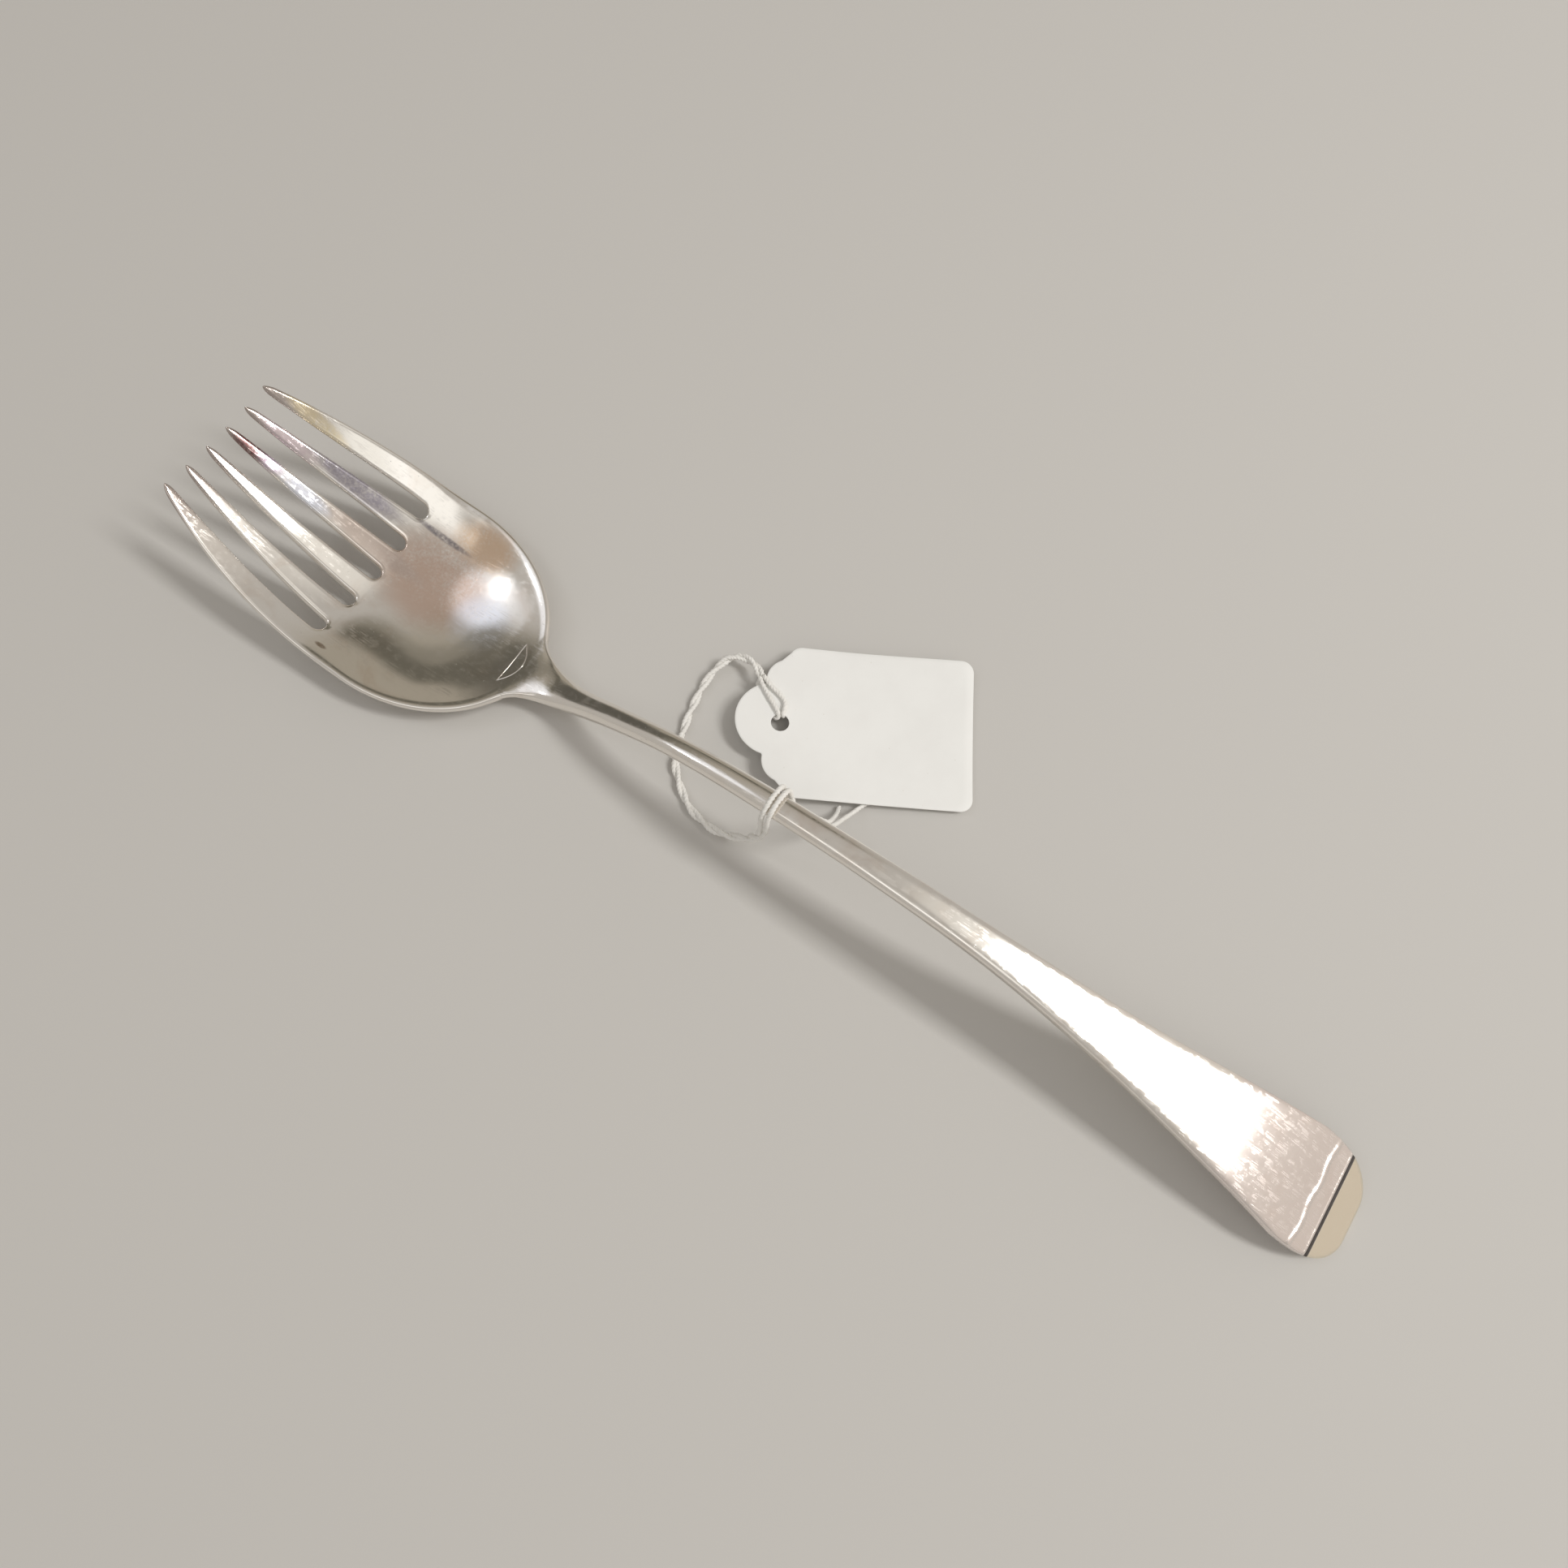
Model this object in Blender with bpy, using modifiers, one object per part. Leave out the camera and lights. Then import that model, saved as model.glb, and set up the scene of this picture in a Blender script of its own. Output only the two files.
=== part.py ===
"""Silver salad serving fork with six tines and a strung paper tag.

The fork lies with its bowl up, on the underside of the bowl and on the tip of the handle.
Stations run along the fork from the tine tips; +X points to the handle end, +Z up.
Sizes are in millimetres and are scaled to metres when the meshes are made.
"""
import bisect
import math

import bmesh
import bpy
from mathutils import Euler, Vector

MM = 0.001
GAP = 0.3

# Fork as a whole
LENGTH = 251.0
MIDDLE = 125.3
SEAM_STATION = 70.0

# Head: bowl and tines
TINE_COUNT = 6
SLOT_END = 33.0
SLOT_WIDTH = 2.7
TIP_STATION = 0.4
TIP_HALF_WIDTH = 0.5
TIP_PITCH = 5.3
ROOT_PITCH = 7.65
TINE_TAPER = 0.6
FAN_POWER = 1.6
BOWL_HALF_WIDTH = 22.1
TIPS_HALF_WIDTH = 13.75
BOWL_WIDEST = 43.25
BOWL_HEEL_LENGTH = 28.2
BOWL_FULLNESS = 2.6
DISH_POWER = 2.2
HEAD_CENTRE = ((0.0, 23.8), (10.0, 16.2), (20.0, 10.0), (33.0, 4.0), (44.0, 1.8),
               (54.0, 1.9), (63.0, 3.6), (70.0, 5.6))
HEAD_RISE = ((0.0, 0.9), (20.0, 3.4), (33.0, 5.2), (44.0, 6.3), (54.0, 5.4), (63.0, 3.0), (70.0, 0.5))
HEAD_THICKNESS = 2.4
RIM_THINNING = 0.42
TINE_STATIONS = (0.4, 1.6, 4.0, 8.0, 13.0, 18.0, 23.0, 28.0, 31.4, 32.6, 33.0)
BOWL_STATIONS = (36.0, 40.0, 44.0, 48.0, 52.0, 56.0, 59.5, 62.5, 65.0, 67.0, 68.6, 69.7)
HEAD_WEIGHTS = ((0.0, 0.45), (10.0, 0.68), (33.0, 0.86), (50.0, 0.86), (70.0, 1.0))
SLOT_ROUNDING = {32.6: 0.85, 33.0: 0.45}

# Handle: stem, flat and turned-down end
HANDLE_TOP = ((70.0, 5.9), (76.0, 6.8), (80.0, 8.0), (84.0, 9.9), (92.0, 14.3), (106.0, 20.4),
              (125.0, 24.2), (150.0, 25.4), (175.0, 23.6), (200.0, 18.4), (225.0, 12.3),
              (236.0, 8.6), (244.9, 4.5))
HANDLE_HALF_WIDTH = ((70.0, 7.0), (71.5, 5.9), (73.5, 4.8), (76.0, 3.8), (80.0, 2.95), (84.0, 2.5),
                     (92.0, 2.2), (106.0, 2.0), (125.0, 2.2), (150.0, 2.5), (175.0, 3.2),
                     (200.0, 5.25), (225.0, 8.7), (238.0, 10.6))
HANDLE_THICKNESS = ((70.0, 2.5), (76.0, 3.6), (84.0, 4.1), (106.0, 3.9), (125.0, 3.6), (150.0, 3.3),
                    (200.0, 2.7), (240.0, 2.1), (251.0, 1.6))
HANDLE_SQUARENESS = ((70.0, 4.5), (80.0, 2.8), (106.0, 2.6), (150.0, 3.2), (200.0, 4.5), (251.0, 5.0))
END_ROUNDING_START = 238.0
END_ROUNDING_POWER = 2.8
END_CREASE = 244.9
END_TOP = 1.0
SECTION_POINTS = 16

# Table wear: what the polished underside lost where it stands
TABLE_FLAT = 0.0

# Tag: card with a lobe round its hole, seen in its own plane with the hole at the origin
TAG_HOLE_AT = (116.5, 20.55, 3.35)
TAG_TURN = 30.8
TAG_PITCH = 3.5
TAG_THICKNESS = 0.5
TAG_END = 38.2
TAG_SHOULDER = 2.4
TAG_HALF_WIDTH = 15.9
TAG_CORNER = 2.6
TAG_CUSP = (-3.7, 7.5)
TAG_LOBE = 8.4
TAG_HOLE_RADIUS = 1.75

# Cotton string: two twisted strands laid together as one cord
CORD_DIAMETER = 1.8
STRAND_DIAMETER = 1.1
STRAND_SPACING = 1.45
LOOP_ROUTE = ((101.02, 26.22, 2.6), (100.36, 25.38, 2.4), (99.57, 22.7, 1.8), (99.4, 19.2, 1.2),
              (99.95, 15.4, 0.98), (100.8, 11.7, 0.98), (101.8, 8.5, 0.98), (103.1, 5.0, 0.98),
              (104.8, 1.8, 0.98), (107.2, -0.4, 0.98), (110.2, -2.6, 0.98), (113.0, -3.9, 1.0),
              (116.1, -4.5, 1.2), (119.0, -4.7, 1.7), (121.9, -4.2, 2.6), (124.6, -3.5, 4.6),
              (126.6, -3.2, 8.0), (128.0, -3.3, 12.5), (128.6, -3.4, 16.6))
NECK_ROUTE = ((101.38, 26.58, 2.72), (102.17, 27.17, 3.0), (104.5, 27.6, 3.4), (106.2, 27.2, 3.7),
              (107.4, 26.5, 3.8))
TURN_ROUTE = ((128.7, -3.5, 17.9), (128.7, -3.4, 20.4), (128.7, -3.2, 23.4), (128.7, -1.9, 25.25),
              (128.7, 0.0, 25.7), (128.75, 1.9, 25.3), (128.8, 3.2, 23.9), (129.1, 3.5, 21.8),
              (129.6, 3.35, 20.1), (130.3, 2.6, 19.3))
KNOT_AT = (132.8, 1.2, 19.2)
KNOT_SIZE = (3.4, 2.8, 2.5)
SHORT_TAIL_ROUTE = ((134.6, 2.3, 19.0), (135.6, 4.0, 16.6), (136.5, 6.3, 10.4), (136.3, 9.2, 4.6),
                    (135.9, 11.6, 1.4), (135.5, 13.0, 0.66))
LONG_TAIL_ROUTE = ((134.8, 0.6, 18.8), (136.6, 3.0, 16.4), (137.6, 6.4, 10.0), (138.0, 10.0, 4.8),
                   (138.6, 13.0, 1.6), (139.4, 16.0, 0.75), (141.2, 19.4, 0.64))
BIGHT_OFFSET = 1.7
BIGHT_CENTRE = 1.5
BIGHT_REACH = 8.4

# Joint places
SLIDE_AT = (128.7, 0.0, 24.5)
SWING_AT = (101.2, 26.4, 2.66)
LIFT_AT = (108.4, 25.9, 3.8)


def through(stations, at):
    """Value at a station on the smooth curve through (station, value) pairs."""
    places = [station for station, _ in stations]
    values = [value for _, value in stations]
    last = len(places) - 1
    at = min(max(at, places[0]), places[last])
    low = min(max(bisect.bisect_right(places, at) - 1, 0), last - 1)

    def slope(index):
        before, after = max(index - 1, 0), min(index + 1, last)
        return (values[after] - values[before]) / (places[after] - places[before])

    span = places[low + 1] - places[low]
    t = (at - places[low]) / span
    start = (1 + 2 * t) * (1 - t) ** 2 * values[low] + t * (1 - t) ** 2 * span * slope(low)
    end = t * t * (3 - 2 * t) * values[low + 1] + t * t * (t - 1) * span * slope(low + 1)
    return start + end


def world(point):
    """A point of the fork, in millimetres from the tine tips, as metres from the fork's middle."""
    return Vector((point[0] - MIDDLE, point[1], point[2])) * MM


def clear_scene():
    """Start from an empty scene."""
    for old in list(bpy.data.objects):
        bpy.data.objects.remove(old, do_unlink=True)


def collection(name):
    """A collection linked into the scene."""
    made = bpy.data.collections.new(name)
    bpy.context.scene.collection.children.link(made)
    return made


def material(name, colour, roughness, metallic):
    """A Principled material with one colour."""
    made = bpy.data.materials.new(name)
    made.use_nodes = True
    shader = made.node_tree.nodes["Principled BSDF"]
    shader.inputs["Base Color"].default_value = (*colour, 1.0)
    shader.inputs["Roughness"].default_value = roughness
    shader.inputs["Metallic"].default_value = metallic
    return made


def place(name, data, finish, group, parent=None):
    """An object with its finish, in its collection, at its parent's origin."""
    made = bpy.data.objects.new(name, data)
    data.materials.append(finish)
    group.objects.link(made)
    made.parent = parent
    return made


def origin_of(parent):
    """World place of a pivot, or the fork's own origin."""
    return Vector(parent["at"]) if parent else Vector()


def pivot(name, at, group, parent=None):
    """An empty on a joint's axis."""
    made = bpy.data.objects.new(name, None)
    group.objects.link(made)
    made.parent = parent
    made.location = world(at) - origin_of(parent)
    made["at"] = world(at)
    return made


def bowl_half_width(station):
    """Half width of the head: fanned tines, widest bowl, elliptic heel."""
    if station < BOWL_WIDEST:
        narrowing = ((BOWL_WIDEST - station) / BOWL_WIDEST) ** BOWL_FULLNESS
        return BOWL_HALF_WIDTH - (BOWL_HALF_WIDTH - TIPS_HALF_WIDTH) * narrowing
    along = min((station - BOWL_WIDEST) / BOWL_HEEL_LENGTH, 1.0)
    return BOWL_HALF_WIDTH * math.sqrt(1 - along * along)


def head_top(station, across):
    """Height of the head's dished upper face."""
    share = min(abs(across) / bowl_half_width(station), 1.0)
    return through(HEAD_CENTRE, station) + through(HEAD_RISE, station) * share ** DISH_POWER


def tine_lines(station):
    """Crosswise places of every tine's two edges and middle at a station."""
    along = min(max((station - TIP_STATION) / (SLOT_END - TIP_STATION), 0.0), 1.0)
    pitch = TIP_PITCH + (ROOT_PITCH - TIP_PITCH) * (1 - (1 - along) ** FAN_POWER)
    root_half = (ROOT_PITCH - SLOT_WIDTH * SLOT_ROUNDING.get(station, 1.0)) / 2
    half = TIP_HALF_WIDTH + (root_half - TIP_HALF_WIDTH) * along ** TINE_TAPER
    outer = bowl_half_width(station)
    lines = []
    for tine in range(TINE_COUNT):
        centre = (tine - (TINE_COUNT - 1) / 2) * pitch
        left, right = centre - half, centre + half
        if tine == 0:
            left = -outer
        if tine == TINE_COUNT - 1:
            right = outer
        lines += [left, (left + right) / 2, right]
    return lines


def bowl_lines(station):
    """The slot ends' crosswise places, spread with the bowl's width."""
    scale = bowl_half_width(station) / bowl_half_width(SLOT_END)
    return [across * scale for across in tine_lines(SLOT_END)]


def build_head(finish, group, cutter):
    """Bowl and six tines as one shell, worn flat where it stands."""
    stations = TINE_STATIONS + BOWL_STATIONS
    columns = 3 * TINE_COUNT
    mesh = bmesh.new()
    bmesh.ops.create_grid(mesh, x_segments=len(stations) - 1, y_segments=columns - 1, size=1.0)
    mesh.verts.ensure_lookup_table()
    rows = {}
    thickness = {}
    for vert in mesh.verts:
        row = round((vert.co.x + 1) / 2 * (len(stations) - 1))
        column = round((vert.co.y + 1) / 2 * (columns - 1))
        rows[vert.index] = (row, column)
        station = stations[row]
        lines = tine_lines(station) if station <= SLOT_END else bowl_lines(station)
        across = lines[column]
        vert.co = world((station, across, head_top(station, across)))
        rim_share = (across / bowl_half_width(station)) ** 2
        thickness[vert.index] = through(HEAD_WEIGHTS, station) * (1 - RIM_THINNING * rim_share)
    slot_rows = len(TINE_STATIONS) - 1
    slots = []
    for face in mesh.faces:
        row = min(rows[vert.index][0] for vert in face.verts)
        column = min(rows[vert.index][1] for vert in face.verts)
        if row < slot_rows and column % 3 == 2:
            slots.append(face)
    bmesh.ops.delete(mesh, geom=slots, context="FACES_ONLY")
    bmesh.ops.recalc_face_normals(mesh, faces=mesh.faces)
    if sum(face.normal.z for face in mesh.faces) < 0:
        bmesh.ops.reverse_faces(mesh, faces=mesh.faces)
    data = bpy.data.meshes.new("fork_head")
    mesh.to_mesh(data)
    mesh.free()
    head = place("fork_head", data, finish, group)
    weights = head.vertex_groups.new(name="thickness")
    for index, weight in thickness.items():
        weights.add([index], weight, "REPLACE")
    shell = head.modifiers.new("Shell", "SOLIDIFY")
    shell.thickness = HEAD_THICKNESS * MM
    shell.offset = -1.0
    shell.vertex_group = "thickness"
    wear_flat(head, cutter)
    data.shade_smooth()
    return head


def handle_half_width(station):
    """Half width of the handle, with its rounded end."""
    if station <= END_ROUNDING_START:
        return through(HANDLE_HALF_WIDTH, station)
    along = (station - END_ROUNDING_START) / (LENGTH - END_ROUNDING_START)
    return HANDLE_HALF_WIDTH[-1][1] * (1 - along ** END_ROUNDING_POWER) ** (1 / END_ROUNDING_POWER)


def handle_top(station):
    """Height of the handle's upper face, straight past the crease of the turned-down end."""
    if station <= END_CREASE:
        return through(HANDLE_TOP, station)
    along = (station - END_CREASE) / (LENGTH - END_CREASE)
    return HANDLE_TOP[-1][1] + (END_TOP - HANDLE_TOP[-1][1]) * along


def handle_section(station):
    """Ring of points round the handle, square to its own line."""
    step = 0.2
    rise = handle_top(min(station + step, LENGTH)) - handle_top(station - step)
    lean = math.atan2(rise, min(station + step, LENGTH) - station + step)
    half_width = handle_half_width(station)
    half_depth = through(HANDLE_THICKNESS, station) / 2
    power = 2 / through(HANDLE_SQUARENESS, station)
    ring = []
    for index in range(SECTION_POINTS):
        angle = 2 * math.pi * (index + 0.5) / SECTION_POINTS
        across = half_width * math.copysign(abs(math.cos(angle)) ** power, math.cos(angle))
        up = half_depth * (math.copysign(abs(math.sin(angle)) ** power, math.sin(angle)) - 1)
        ring.append(world((station - up * math.sin(lean), across, handle_top(station) + up * math.cos(lean))))
    return ring


def spread(start, end, count):
    """Evenly spaced stations from start up to, and without, end."""
    return [start + (end - start) * index / count for index in range(count)]


def build_handle(finish, group, cutter):
    """Stem, flat and turned-down end, lofted through its sections."""
    stations = spread(SEAM_STATION + GAP, 84.0, 9) + spread(84.0, 232.0, 24)
    stations += spread(232.0, END_CREASE, 6) + spread(END_CREASE, LENGTH - 0.15, 5) + [LENGTH - 0.15]
    mesh = bmesh.new()
    rings = [[mesh.verts.new(point) for point in handle_section(station)] for station in stations]
    for ring, following in zip(rings, rings[1:]):
        for index in range(SECTION_POINTS):
            nxt = (index + 1) % SECTION_POINTS
            mesh.faces.new((ring[index], ring[nxt], following[nxt], following[index]))
    mesh.faces.new(rings[0])
    mesh.faces.new(rings[-1])
    bmesh.ops.recalc_face_normals(mesh, faces=mesh.faces)
    data = bpy.data.meshes.new("handle")
    mesh.to_mesh(data)
    mesh.free()
    handle = place("handle", data, finish, group)
    wear_flat(handle, cutter)
    data.shade_smooth()
    return handle


def build_table_cutter(group):
    """Block under the table line that takes off what the underside has worn away."""
    depth = 10.0 * MM
    mesh = bmesh.new()
    bmesh.ops.create_cube(mesh, size=1.0)
    bmesh.ops.scale(mesh, verts=mesh.verts, vec=(1.2 * LENGTH * MM, 4 * BOWL_HALF_WIDTH * MM, depth))
    data = bpy.data.meshes.new("table_cutter")
    mesh.to_mesh(data)
    mesh.free()
    cutter = bpy.data.objects.new("table_cutter", data)
    cutter.location.z = TABLE_FLAT * MM - depth / 2
    cutter.display_type = "WIRE"
    cutter.hide_render = True
    group.objects.link(cutter)
    return cutter


def wear_flat(piece, cutter):
    """Cut a piece off level with the table."""
    cut = piece.modifiers.new("Worn flat", "BOOLEAN")
    cut.operation = "DIFFERENCE"
    cut.solver = "EXACT"
    cut.object = cutter


def smooth_route(route, spacing):
    """Points about a spacing apart on a smooth curve through a route's points."""
    points = [Vector(point) for point in route]
    ahead = [points[0] * 2 - points[1]] + points + [points[-1] * 2 - points[-2]]
    smooth = []
    for before, start, end, after in zip(ahead, ahead[1:], ahead[2:], ahead[3:]):
        count = max(1, round((end - start).length / spacing))
        for index in range(count):
            t = index / count
            smooth.append(0.5 * (2 * start + (end - before) * t
                                 + (2 * before - 5 * start + 4 * end - after) * t * t
                                 + (3 * start - before - 3 * end + after) * t ** 3))
    return smooth + [points[-1]]


def build_tube(name, points, diameter, finish, group, parent):
    """A piece of string along its points, as a round tube with closed ends."""
    curve = bpy.data.curves.new(name, "CURVE")
    curve.dimensions = "3D"
    curve.bevel_depth = diameter / 2 * MM
    curve.bevel_resolution = 2
    curve.use_fill_caps = True
    spline = curve.splines.new("POLY")
    spline.points.add(len(points) - 1)
    for target, point in zip(spline.points, points):
        target.co = (*(world(point) - origin_of(parent)), 1.0)
    return place(name, curve, finish, group, parent)


def build_knot(finish, group, parent):
    """The string's knot under the stem."""
    mesh = bmesh.new()
    bmesh.ops.create_uvsphere(mesh, u_segments=14, v_segments=10, radius=0.5)
    bmesh.ops.scale(mesh, verts=mesh.verts, vec=Vector(KNOT_SIZE) * MM)
    data = bpy.data.meshes.new("string_knot")
    mesh.to_mesh(data)
    mesh.free()
    data.shade_smooth()
    knot = place("string_knot", data, finish, group, parent)
    knot.location = world(KNOT_AT) - origin_of(parent)
    return knot


def arc(centre, radius, start, end, count):
    """Points along an arc, with both ends, angles in degrees."""
    angles = [math.radians(start + (end - start) * index / count) for index in range(count + 1)]
    return [(centre[0] + radius * math.cos(a), centre[1] + radius * math.sin(a)) for a in angles]


def tag_outline():
    """Card outline round its hole: lobe, cusps, sloped shoulders, rounded corners."""
    lobe_angle = math.degrees(math.atan2(TAG_CUSP[1], TAG_CUSP[0]))
    inner = TAG_HALF_WIDTH - TAG_CORNER
    outline = arc((0.0, 0.0), TAG_LOBE, lobe_angle, 360 - lobe_angle, 16)
    outline += arc((TAG_SHOULDER + TAG_CORNER / 2, -inner), TAG_CORNER, 210, 270, 4)
    outline += arc((TAG_END - TAG_CORNER, -inner), TAG_CORNER, 270, 360, 5)
    outline += arc((TAG_END - TAG_CORNER, inner), TAG_CORNER, 0, 90, 5)
    outline += arc((TAG_SHOULDER + TAG_CORNER / 2, inner), TAG_CORNER, 90, 150, 4)
    return outline


def tag_tilt():
    """How the card lies: turned in plan, its far end lower."""
    return Euler((0.0, math.radians(TAG_PITCH), math.radians(TAG_TURN)))


def build_tag(finish, group, parent):
    """Paper card with its punched hole."""
    curve = bpy.data.curves.new("price_tag", "CURVE")
    curve.dimensions = "2D"
    curve.fill_mode = "BOTH"
    curve.extrude = TAG_THICKNESS / 2 * MM
    for outline in (tag_outline(), arc((0.0, 0.0), TAG_HOLE_RADIUS, 0, 345, 23)):
        spline = curve.splines.new("POLY")
        spline.points.add(len(outline) - 1)
        for target, point in zip(spline.points, outline):
            target.co = (point[0] * MM, point[1] * MM, 0.0, 1.0)
        spline.use_cyclic_u = True
    tag = place("price_tag", curve, finish, group, parent)
    tag.location = world(TAG_HOLE_AT) - origin_of(parent)
    tag.rotation_euler = tag_tilt()
    return tag


def bight_points():
    """String doubled through the hole, from the cusp over the card and back under it."""
    toward = Vector((TAG_CUSP[0], TAG_CUSP[1], 0.0)).normalized()
    flat = [(BIGHT_REACH, BIGHT_OFFSET), ((BIGHT_REACH + BIGHT_CENTRE) / 2, BIGHT_OFFSET)]
    bend = arc((BIGHT_CENTRE, 0.0), BIGHT_OFFSET, 90, 270, 8)
    below = [(along, -up) for along, up in reversed(flat)]
    tilt = tag_tilt().to_matrix()
    return [Vector(TAG_HOLE_AT) + tilt @ (toward * along + Vector((0.0, 0.0, up)))
            for along, up in flat + bend + below]


def shifted(route, sideways):
    """A route moved along the fork."""
    return [(point[0] + sideways, point[1], point[2]) for point in route]


def build_string(finish, group, slide, swing, lift):
    """The cotton string: loop, neck, turns over the stem, knot, two tails and the bight."""
    spacing = 2.2 * CORD_DIAMETER
    fine = 1.4 * STRAND_DIAMETER
    build_tube("string_loop", smooth_route(LOOP_ROUTE, spacing), CORD_DIAMETER, finish, group, slide)
    build_tube("string_neck", smooth_route(NECK_ROUTE, spacing), CORD_DIAMETER, finish, group, swing)
    for name, side in (("string_turn_near", -0.5), ("string_turn_far", 0.5)):
        route = shifted(TURN_ROUTE, side * STRAND_SPACING)
        build_tube(name, smooth_route(route, fine), STRAND_DIAMETER, finish, group, slide)
    build_knot(finish, group, slide)
    for name, route in (("string_tail_short", SHORT_TAIL_ROUTE), ("string_tail_long", LONG_TAIL_ROUTE)):
        build_tube(name, smooth_route(route, fine), STRAND_DIAMETER, finish, group, slide)
    build_tube("string_bight", bight_points(), CORD_DIAMETER, finish, group, lift)


def main():
    """Build the fork, its tag and its string."""
    clear_scene()
    group = collection("salad_fork")
    cutters = collection("cutters")
    bowl_silver = material("bowl_silver", (0.80, 0.77, 0.72), 0.22, 1.0)
    handle_silver = material("handle_silver", (0.83, 0.80, 0.76), 0.18, 1.0)
    card = material("tag_card", (0.88, 0.88, 0.85), 0.7, 0.0)
    cotton = material("cotton_string", (0.90, 0.90, 0.87), 0.9, 0.0)
    cutter = build_table_cutter(cutters)
    slide = pivot("string_slide_axis", SLIDE_AT, group)
    swing = pivot("tag_swing_axis", SWING_AT, group, slide)
    lift = pivot("tag_lift_axis", LIFT_AT, group, swing)
    build_head(bowl_silver, group, cutter)
    build_handle(handle_silver, group, cutter)
    build_tag(card, group, lift)
    build_string(cotton, group, slide, swing, lift)


if __name__ == "__main__":
    main()
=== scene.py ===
"""Looks of a large silver salad fork with a blank card tag tied to its stem.

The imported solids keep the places. The head, the handle, the card and the string are built again here,
smooth and in full detail, from the same driving sizes, and dressed in worn silver, card and cotton.
Stations run along the fork from the tips of the tines. Stations, widths and heights are in millimetres,
and the scene is in metres.
"""

import logging
import math
from dataclasses import dataclass
from enum import Enum
from functools import reduce
from typing import Optional, Sequence, Union

import bmesh
import bpy
import numpy as np
from mathutils import Euler, Matrix, Quaternion, Vector


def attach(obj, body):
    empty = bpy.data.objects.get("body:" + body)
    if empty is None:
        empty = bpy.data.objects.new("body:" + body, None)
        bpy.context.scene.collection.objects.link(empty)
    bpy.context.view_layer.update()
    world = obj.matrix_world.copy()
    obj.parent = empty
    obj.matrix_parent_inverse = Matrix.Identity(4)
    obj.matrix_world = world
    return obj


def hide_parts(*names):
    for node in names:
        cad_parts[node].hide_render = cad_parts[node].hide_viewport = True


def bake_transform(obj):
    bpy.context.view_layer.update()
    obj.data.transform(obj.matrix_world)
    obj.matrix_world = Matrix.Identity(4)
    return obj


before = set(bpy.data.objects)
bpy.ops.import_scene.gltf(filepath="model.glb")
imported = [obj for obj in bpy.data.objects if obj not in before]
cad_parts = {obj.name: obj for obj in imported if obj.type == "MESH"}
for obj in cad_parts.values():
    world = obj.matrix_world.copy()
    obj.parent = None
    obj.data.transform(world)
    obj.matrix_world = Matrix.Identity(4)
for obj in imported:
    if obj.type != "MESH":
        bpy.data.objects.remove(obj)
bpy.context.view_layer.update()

MM = 0.001
MIDDLE = 125.3
WELD = 1e-6
NOISE_MIDDLE = 0.5
HAIR_CORE = 0.4
SPECK_CORE = 0.5

Colour = tuple[float, float, float]
Point = tuple[float, float, float]
Span = tuple[float, float]
Number = Union[float, np.ndarray]

log = logging.getLogger("salad fork")


class Body(Enum):
    """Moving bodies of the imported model."""

    FORK = "fork"
    STRING = "string"
    NECK = "neck"
    TAG = "tag"


class Slot(Enum):
    """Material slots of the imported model."""

    BOWL = "bowl_silver"
    HANDLE = "handle_silver"
    CARD = "tag_card"
    COTTON = "cotton_string"


class LampShape(Enum):
    """Outlines of a lamp."""

    RECTANGLE = "RECTANGLE"
    ELLIPSE = "ELLIPSE"


def smoothstep(low: float, high: float, at: Number) -> np.ndarray:
    """Rise from 0 at low to 1 at high, level at both ends."""
    share = np.clip((np.asarray(at, float) - low) / (high - low), 0.0, 1.0)
    return share * share * (3 - 2 * share)


def ease(share: Number, span: Number, values: tuple[Number, Number], slopes: tuple[Number, Number]) -> Number:
    """Cubic curve between two values.

    Args:
        share: Place between them, from 0 to 1.
        span: Distance between them.
        values: The two values.
        slopes: Slope of the curve at each of them.

    Returns:
        The value at the place.
    """
    rest = 1 - share
    level = values[0] * rest * rest * (1 + 2 * share) + values[1] * share * share * (3 - 2 * share)
    return level + span * share * rest * (slopes[0] * rest - slopes[1] * share)


def unit(vectors: np.ndarray) -> np.ndarray:
    """Vectors of the same directions and of length 1."""
    return vectors / np.linalg.norm(vectors, axis=-1, keepdims=True)


def to_metres(points: np.ndarray) -> np.ndarray:
    """Station, across and height in millimetres to the scene's metres."""
    return (np.asarray(points, float) - (MIDDLE, 0.0, 0.0)) * MM


def arc(centre: Span, radius: float, start: float, end: float, count: int) -> list[Span]:
    """Points on an arc, both ends included.

    Args:
        centre: Its centre.
        radius: Its radius.
        start: Angle of the first point in degrees.
        end: Angle of the last point in degrees.
        count: Number of steps.

    Returns:
        The points in order.
    """
    angles = np.radians(np.linspace(start, end, count + 1))
    return [(centre[0] + radius * math.cos(a), centre[1] + radius * math.sin(a)) for a in angles]


def add_object(name: str, data: bpy.types.ID) -> bpy.types.Object:
    """Add an object to the scene.

    Args:
        name: Its name.
        data: Its mesh, lamp or camera.

    Returns:
        The object.
    """
    made = bpy.data.objects.new(name, data)
    bpy.context.scene.collection.objects.link(made)
    return made


def travel(line: np.ndarray) -> np.ndarray:
    """Way gone along a line of points, at each of them."""
    return np.concatenate([[0.0], np.cumsum(np.linalg.norm(np.diff(line, axis=0), axis=1))])


def even(line: np.ndarray, step: float) -> np.ndarray:
    """Move the points of a line to even steps.

    Args:
        line: Points in order.
        step: Wanted distance.

    Returns:
        The new points, with the same ends.
    """
    gone = travel(line)
    wanted = np.linspace(0.0, gone[-1], max(2, round(gone[-1] / step) + 1))
    return np.stack([np.interp(wanted, gone, line[:, axis]) for axis in range(3)], axis=-1)


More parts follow.
